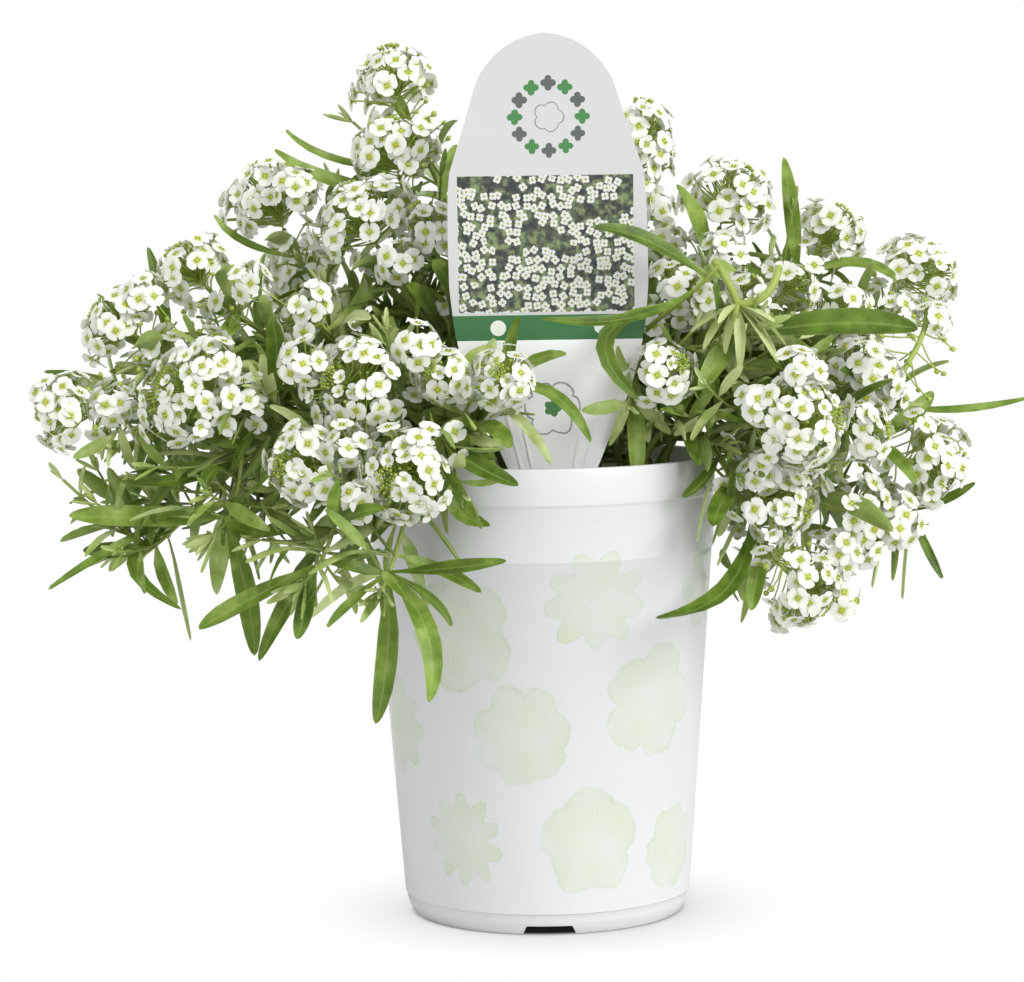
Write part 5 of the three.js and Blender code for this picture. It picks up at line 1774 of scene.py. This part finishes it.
# The label.
def smoothed(points, rounds):
    # Cuts every corner at a quarter of its sides.
    for _ in range(rounds):
        cut = [points[0]]
        for a, b in zip(points, points[1:]):
            cut += [(lerp(a[0], b[0], t), lerp(a[1], b[1], t)) for t in (0.25, 0.75)]
        points = cut + [points[-1]]
    return points


def addPlate(work, outline, front, back):
    addPrism(work, *([(x, depth, z) for x, z in outline] for depth in (front, back)))


def makeTag():
    right = smoothed([(0, tag["top"]), (tag["crown"], tag["top"] - 1), *tag["outline"]], 2)
    right.append((0, tag["tip"]))
    outline = right + [(-x, z) for x, z in reversed(right[1:-1])]
    half = tag["thickness"] / 2
    work = bmesh.new()
    addPlate(work, outline, -half, half)
    wide, (upper, lower) = tag["ribHalf"], tag["ribHeights"]
    for x0, x1 in tag["ribs"]:
        corners = [(x0 - wide, upper), (x0 + wide, upper), (x1 + wide, lower), (x1 - wide, lower)]
        addPlate(work, corners, -half - tag["ribRise"], -half + 0.1)
    lean = Matrix.Translation((tag["x"], tag["y"], soil["top"])) @ Matrix.Rotation(tag["lean"], 4, "Y")
    work.transform(Matrix.Scale(metre, 4) @ lean @ Matrix.Translation((0, 0, -soil["top"])))
    return newObject("plantTag", finishShape(plainMesh("tag", work), crisp["tag"]), makeTagMaterial(tagLook))


grey, green = (0.10, 0.11, 0.10), (0.055, 0.21, 0.06)
wreath = {"height": 231, "ring": 9.5, "blooms": 12}
turns = [k * fullTurn / wreath["blooms"] for k in range(wreath["blooms"])]
# Panel and band: left, right, bottom, top. Drawings: centre, radius, lobes, depth, ink; large ones as lines.
tagLook = {
    "broad": 30.0, "fine": 800.0, "bump": 0.02, "through": 0.08, "glow": (1, 1, 1), "glowShare": 0.0,
    "surface": {"Roughness": 0.34}, "whites": ((0.54, 0.545, 0.545), (0.58, 0.58, 0.58)),
    "paintedLightWhite": (0.88, 0.885, 0.88), "panel": (-26.0, 23.6, 176.2, 214.6), "band": (-40, 40, 168.3, 175.4),
    "bandColour": (0.035, 0.155, 0.050), "iconColour": (0.75, 0.78, 0.70), "iconHeight": 171.8,
    "icons": [(-15.0, 2.2), (14.0, 1.9)],
    "blooms": 0.40, "scatter": 0.7, "petals": 2.0, "petalPower": 0.5, "petalReach": (0.62, 0.62), "eye": 0.34,
    "patches": (0.12, 0.42), "petal": (0.66, 0.66, 0.62), "eyeColour": (0.30, 0.34, 0.07), "groundScale": 0.55,
    "ground": [(0.38, (0.030, 0.034, 0.034)), (0.52, (0.075, 0.095, 0.060)), (0.66, (0.20, 0.27, 0.11))],
    "lineFrom": 3, "roundness": 0.9,
    "drawings": [
        *[(wreath["ring"] * math.sin(turn), wreath["height"] + wreath["ring"] * math.cos(turn), 2.2, 4, 0.4,
           green if k % 2 else grey) for k, turn in enumerate(turns)],
        (0, 231, 4.6, 5, 0.2, grey), (0, 149, 8.5, 6, 0.2, grey), (0, 149, 2.6, 5, 0.3, green)],
}


def inRectangle(x, y, limits):
    left, right, bottom, top = limits
    across = times(calc("GREATER_THAN", x, left), calc("LESS_THAN", x, right))
    return times(across, times(calc("GREATER_THAN", y, bottom), calc("LESS_THAN", y, top)))


def bloomPicture(tree, look, flat, x, z):
    # a bed of white four-petalled blooms on a dark ground
    sheet = outOf(tree, "ShaderNodeCombineXYZ", {0: x, 1: z, 2: 0.0})
    cells = put(tree, "ShaderNodeTexVoronoi", {
        "Vector": sheet, "Scale": look["blooms"], "Randomness": look["scatter"]},
        voronoi_dimensions="2D").outputs
    offset = outOf(tree, "ShaderNodeVectorMath", {0: sheet, 1: cells["Position"]}, operation="SUBTRACT")
    ox, oz, _ = split(offset)
    far = put(tree, "ShaderNodeVectorMath", {0: offset}, operation="LENGTH").outputs["Value"]
    chance = put(tree, "ShaderNodeSeparateColor", {0: cells["Color"]}).outputs[0]
    turn = plus(calc("ARCTAN2", oz, ox), times(chance, 6.0))
    petal = calc("POWER", calc("ABSOLUTE", calc("COSINE", times(turn, look["petals"]))), look["petalPower"])
    least, more = look["petalReach"]
    patchScale, patchFrom = look["patches"]
    isBlooming = calc("GREATER_THAN", noise(cells["Position"], patchScale, 1.0), patchFrom)
    isPetal = times(calc("LESS_THAN", far, plus(least, times(petal, more))), isBlooming)
    ground = colourRamp(noise(flat, look["groundScale"], 3.0), look["ground"])
    picture = blend(isPetal, ground, look["petal"])
    return blend(times(calc("LESS_THAN", far, look["eye"]), isPetal), picture, look["eyeColour"])


def makeTagMaterial(look):
    material, tree, place = newMaterial("tagPlastic")
    broad, fine = variation(place, look)
    flat = outOf(tree, "ShaderNodeMapping", {
        "Vector": place, "Location": (-tag["x"], 0, 0), "Scale": (1000, 1000, 1000)})
    x, y, z = split(flat)
    front = calc("LESS_THAN", y, tag["y"] - tag["thickness"] / 2 + 0.05)
    # a green band with two plain dots, and below it a brighter white, painted light where the leaves shade the
    # lower label
    band = look["bandColour"]
    for centre, radius in look["icons"]:
        far = farFrom(minus(x, centre), minus(z, look["iconHeight"]))
        band = blend(calc("LESS_THAN", far, radius), band, look["iconColour"])
    bottom, top = look["band"][2:]
    # painted light: the label below the band is a brighter white, against the leaves' shade there
    colour = blend(ranged(z, top, bottom), blend(broad, *look["whites"]), look["paintedLightWhite"])
    # plain drawings: a ring of small blooms above the picture, one large bloom below it
    for centreX, centreZ, radius, lobes, depth, ink in look["drawings"]:
        inside, ray, line = stamped(x, z, (centreX, centreZ, radius, lobes, depth, 0.0, look["roundness"]))
        colour = blend(times(front, line if radius > look["lineFrom"] else inside), colour, ink)
    picture = bloomPicture(tree, look, flat, x, z)
    colour = blend(times(front, inRectangle(x, z, look["panel"])), colour, picture)
    colour = blend(times(front, inRectangle(x, z, look["band"])), colour, band)
    finishMaterial(tree, look, colour, fine)
    return material


tagPiece = makeTag()
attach(tagPiece, "root")
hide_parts("tag")
print("label:", len(tagPiece.data.polygons), "faces")

for collection in (blossomParts, leafParts, crumbs):
    for pattern in list(collection.objects):
        bpy.data.objects.remove(pattern)
    bpy.data.collections.remove(collection)


view = {"lens": 120.9, "sensor": 36, "farthest": 100, "place": (-0.0088, -1.0, 0.2123), "down": 0.089,
        "roll": -0.015}
camera = newObject("camera", bpy.data.cameras.new("camera"))
camera.data.lens = view["lens"]
camera.data.sensor_width = view["sensor"]
camera.data.clip_end = view["farthest"]
camera.location = view["place"]
pitch, roll = Matrix.Rotation(math.pi / 2 - view["down"], 3, "X"), Matrix.Rotation(view["roll"], 3, "Z")
camera.rotation_euler = (pitch @ roll).to_euler()
scene.camera = camera

# Lights: where from, how strong, and how wide in degrees.
studio = {
    "keyLight": ((1.25, -1.15, 1.1), 2.72, 34), "backLight": ((-0.7, 1.2, 1.1), 1.0, 40),
    "fillLight": ((-0.75, -1.25, 0.5), 0.78, 70), "sky": 0.56, "pale": 1.0,
}
floorLook = {
    "corners": [(-80000, -40000, 0), (80000, -40000, 0), (0, 120000, 0)], "white": 0.8,
    "reach": 0.0395, "samples": 12, "depth": 0.65, "fall": 1.55, "below": (0.0365, 0.0405, 0.03, 1.0),
}

for name in ("keyLight", "backLight", "fillLight"):
    place, strength, degrees = studio[name]
    lamp = bpy.data.lights.new(name, "SUN")
    lamp.angle = math.radians(degrees)
    lamp.energy = strength
    light = newObject(name, lamp)
    light.location = place
    light.rotation_euler = Vector(place).to_track_quat("Z", "Y").to_euler()


def makeFloorMaterial(look):
    # Seen white, with a painted soft shadow only close round the pot, and painted shade below it.
    material, tree, place = newMaterial("paleFloor")
    fromPot = put(tree, "ShaderNodeVectorMath", {0: place}, operation="LENGTH").outputs["Value"]
    hemmed = put(tree, "ShaderNodeAmbientOcclusion", {"Distance": look["reach"]}, samples=look["samples"])
    shadow = times(calc("POWER", minus(1.0, hemmed.outputs["AO"]), look["fall"]), look["depth"])
    seen = put(tree, "ShaderNodeEmission", {
        "Color": (1, 1, 1), "Strength": times(minus(1.0, shadow), ranged(fromPot, *look["below"]))})
    lit = put(tree, "ShaderNodeBsdfDiffuse", {"Color": (look["white"],) * 3})
    isSeen = put(tree, "ShaderNodeLightPath").outputs["Is Camera Ray"]
    showSurface(tree, put(tree, "ShaderNodeMixShader", {0: isSeen, 1: lit.outputs[0], 2: seen.outputs[0]}))
    return material


floor = newObject("floor", meshFrom("floor", floorLook["corners"], [(0, 1, 2)]), makeFloorMaterial(floorLook))

world = bpy.data.worlds.new("studio")
world.use_nodes = True
sky = world.node_tree.nodes["Background"]
sky.inputs["Color"].default_value = (1, 1, 1, 1)
isSeen = put(world.node_tree, "ShaderNodeLightPath").outputs["Is Camera Ray"]
world.node_tree.links.new(ranged(isSeen, 0.0, 1.0, studio["sky"], studio["pale"]), sky.inputs["Strength"])
scene.world = world
scene.view_settings.view_transform = "Standard"
print("studio: camera, lights, floor and sky")

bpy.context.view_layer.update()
meshes = [o for o in bpy.data.objects if o.type == "MESH"]
triangles = {o.name: sum(len(p.vertices) - 2 for p in o.data.polygons) for o in meshes}
print("triangles:", sum(triangles.values()), "most in one piece:", max(triangles.values()))
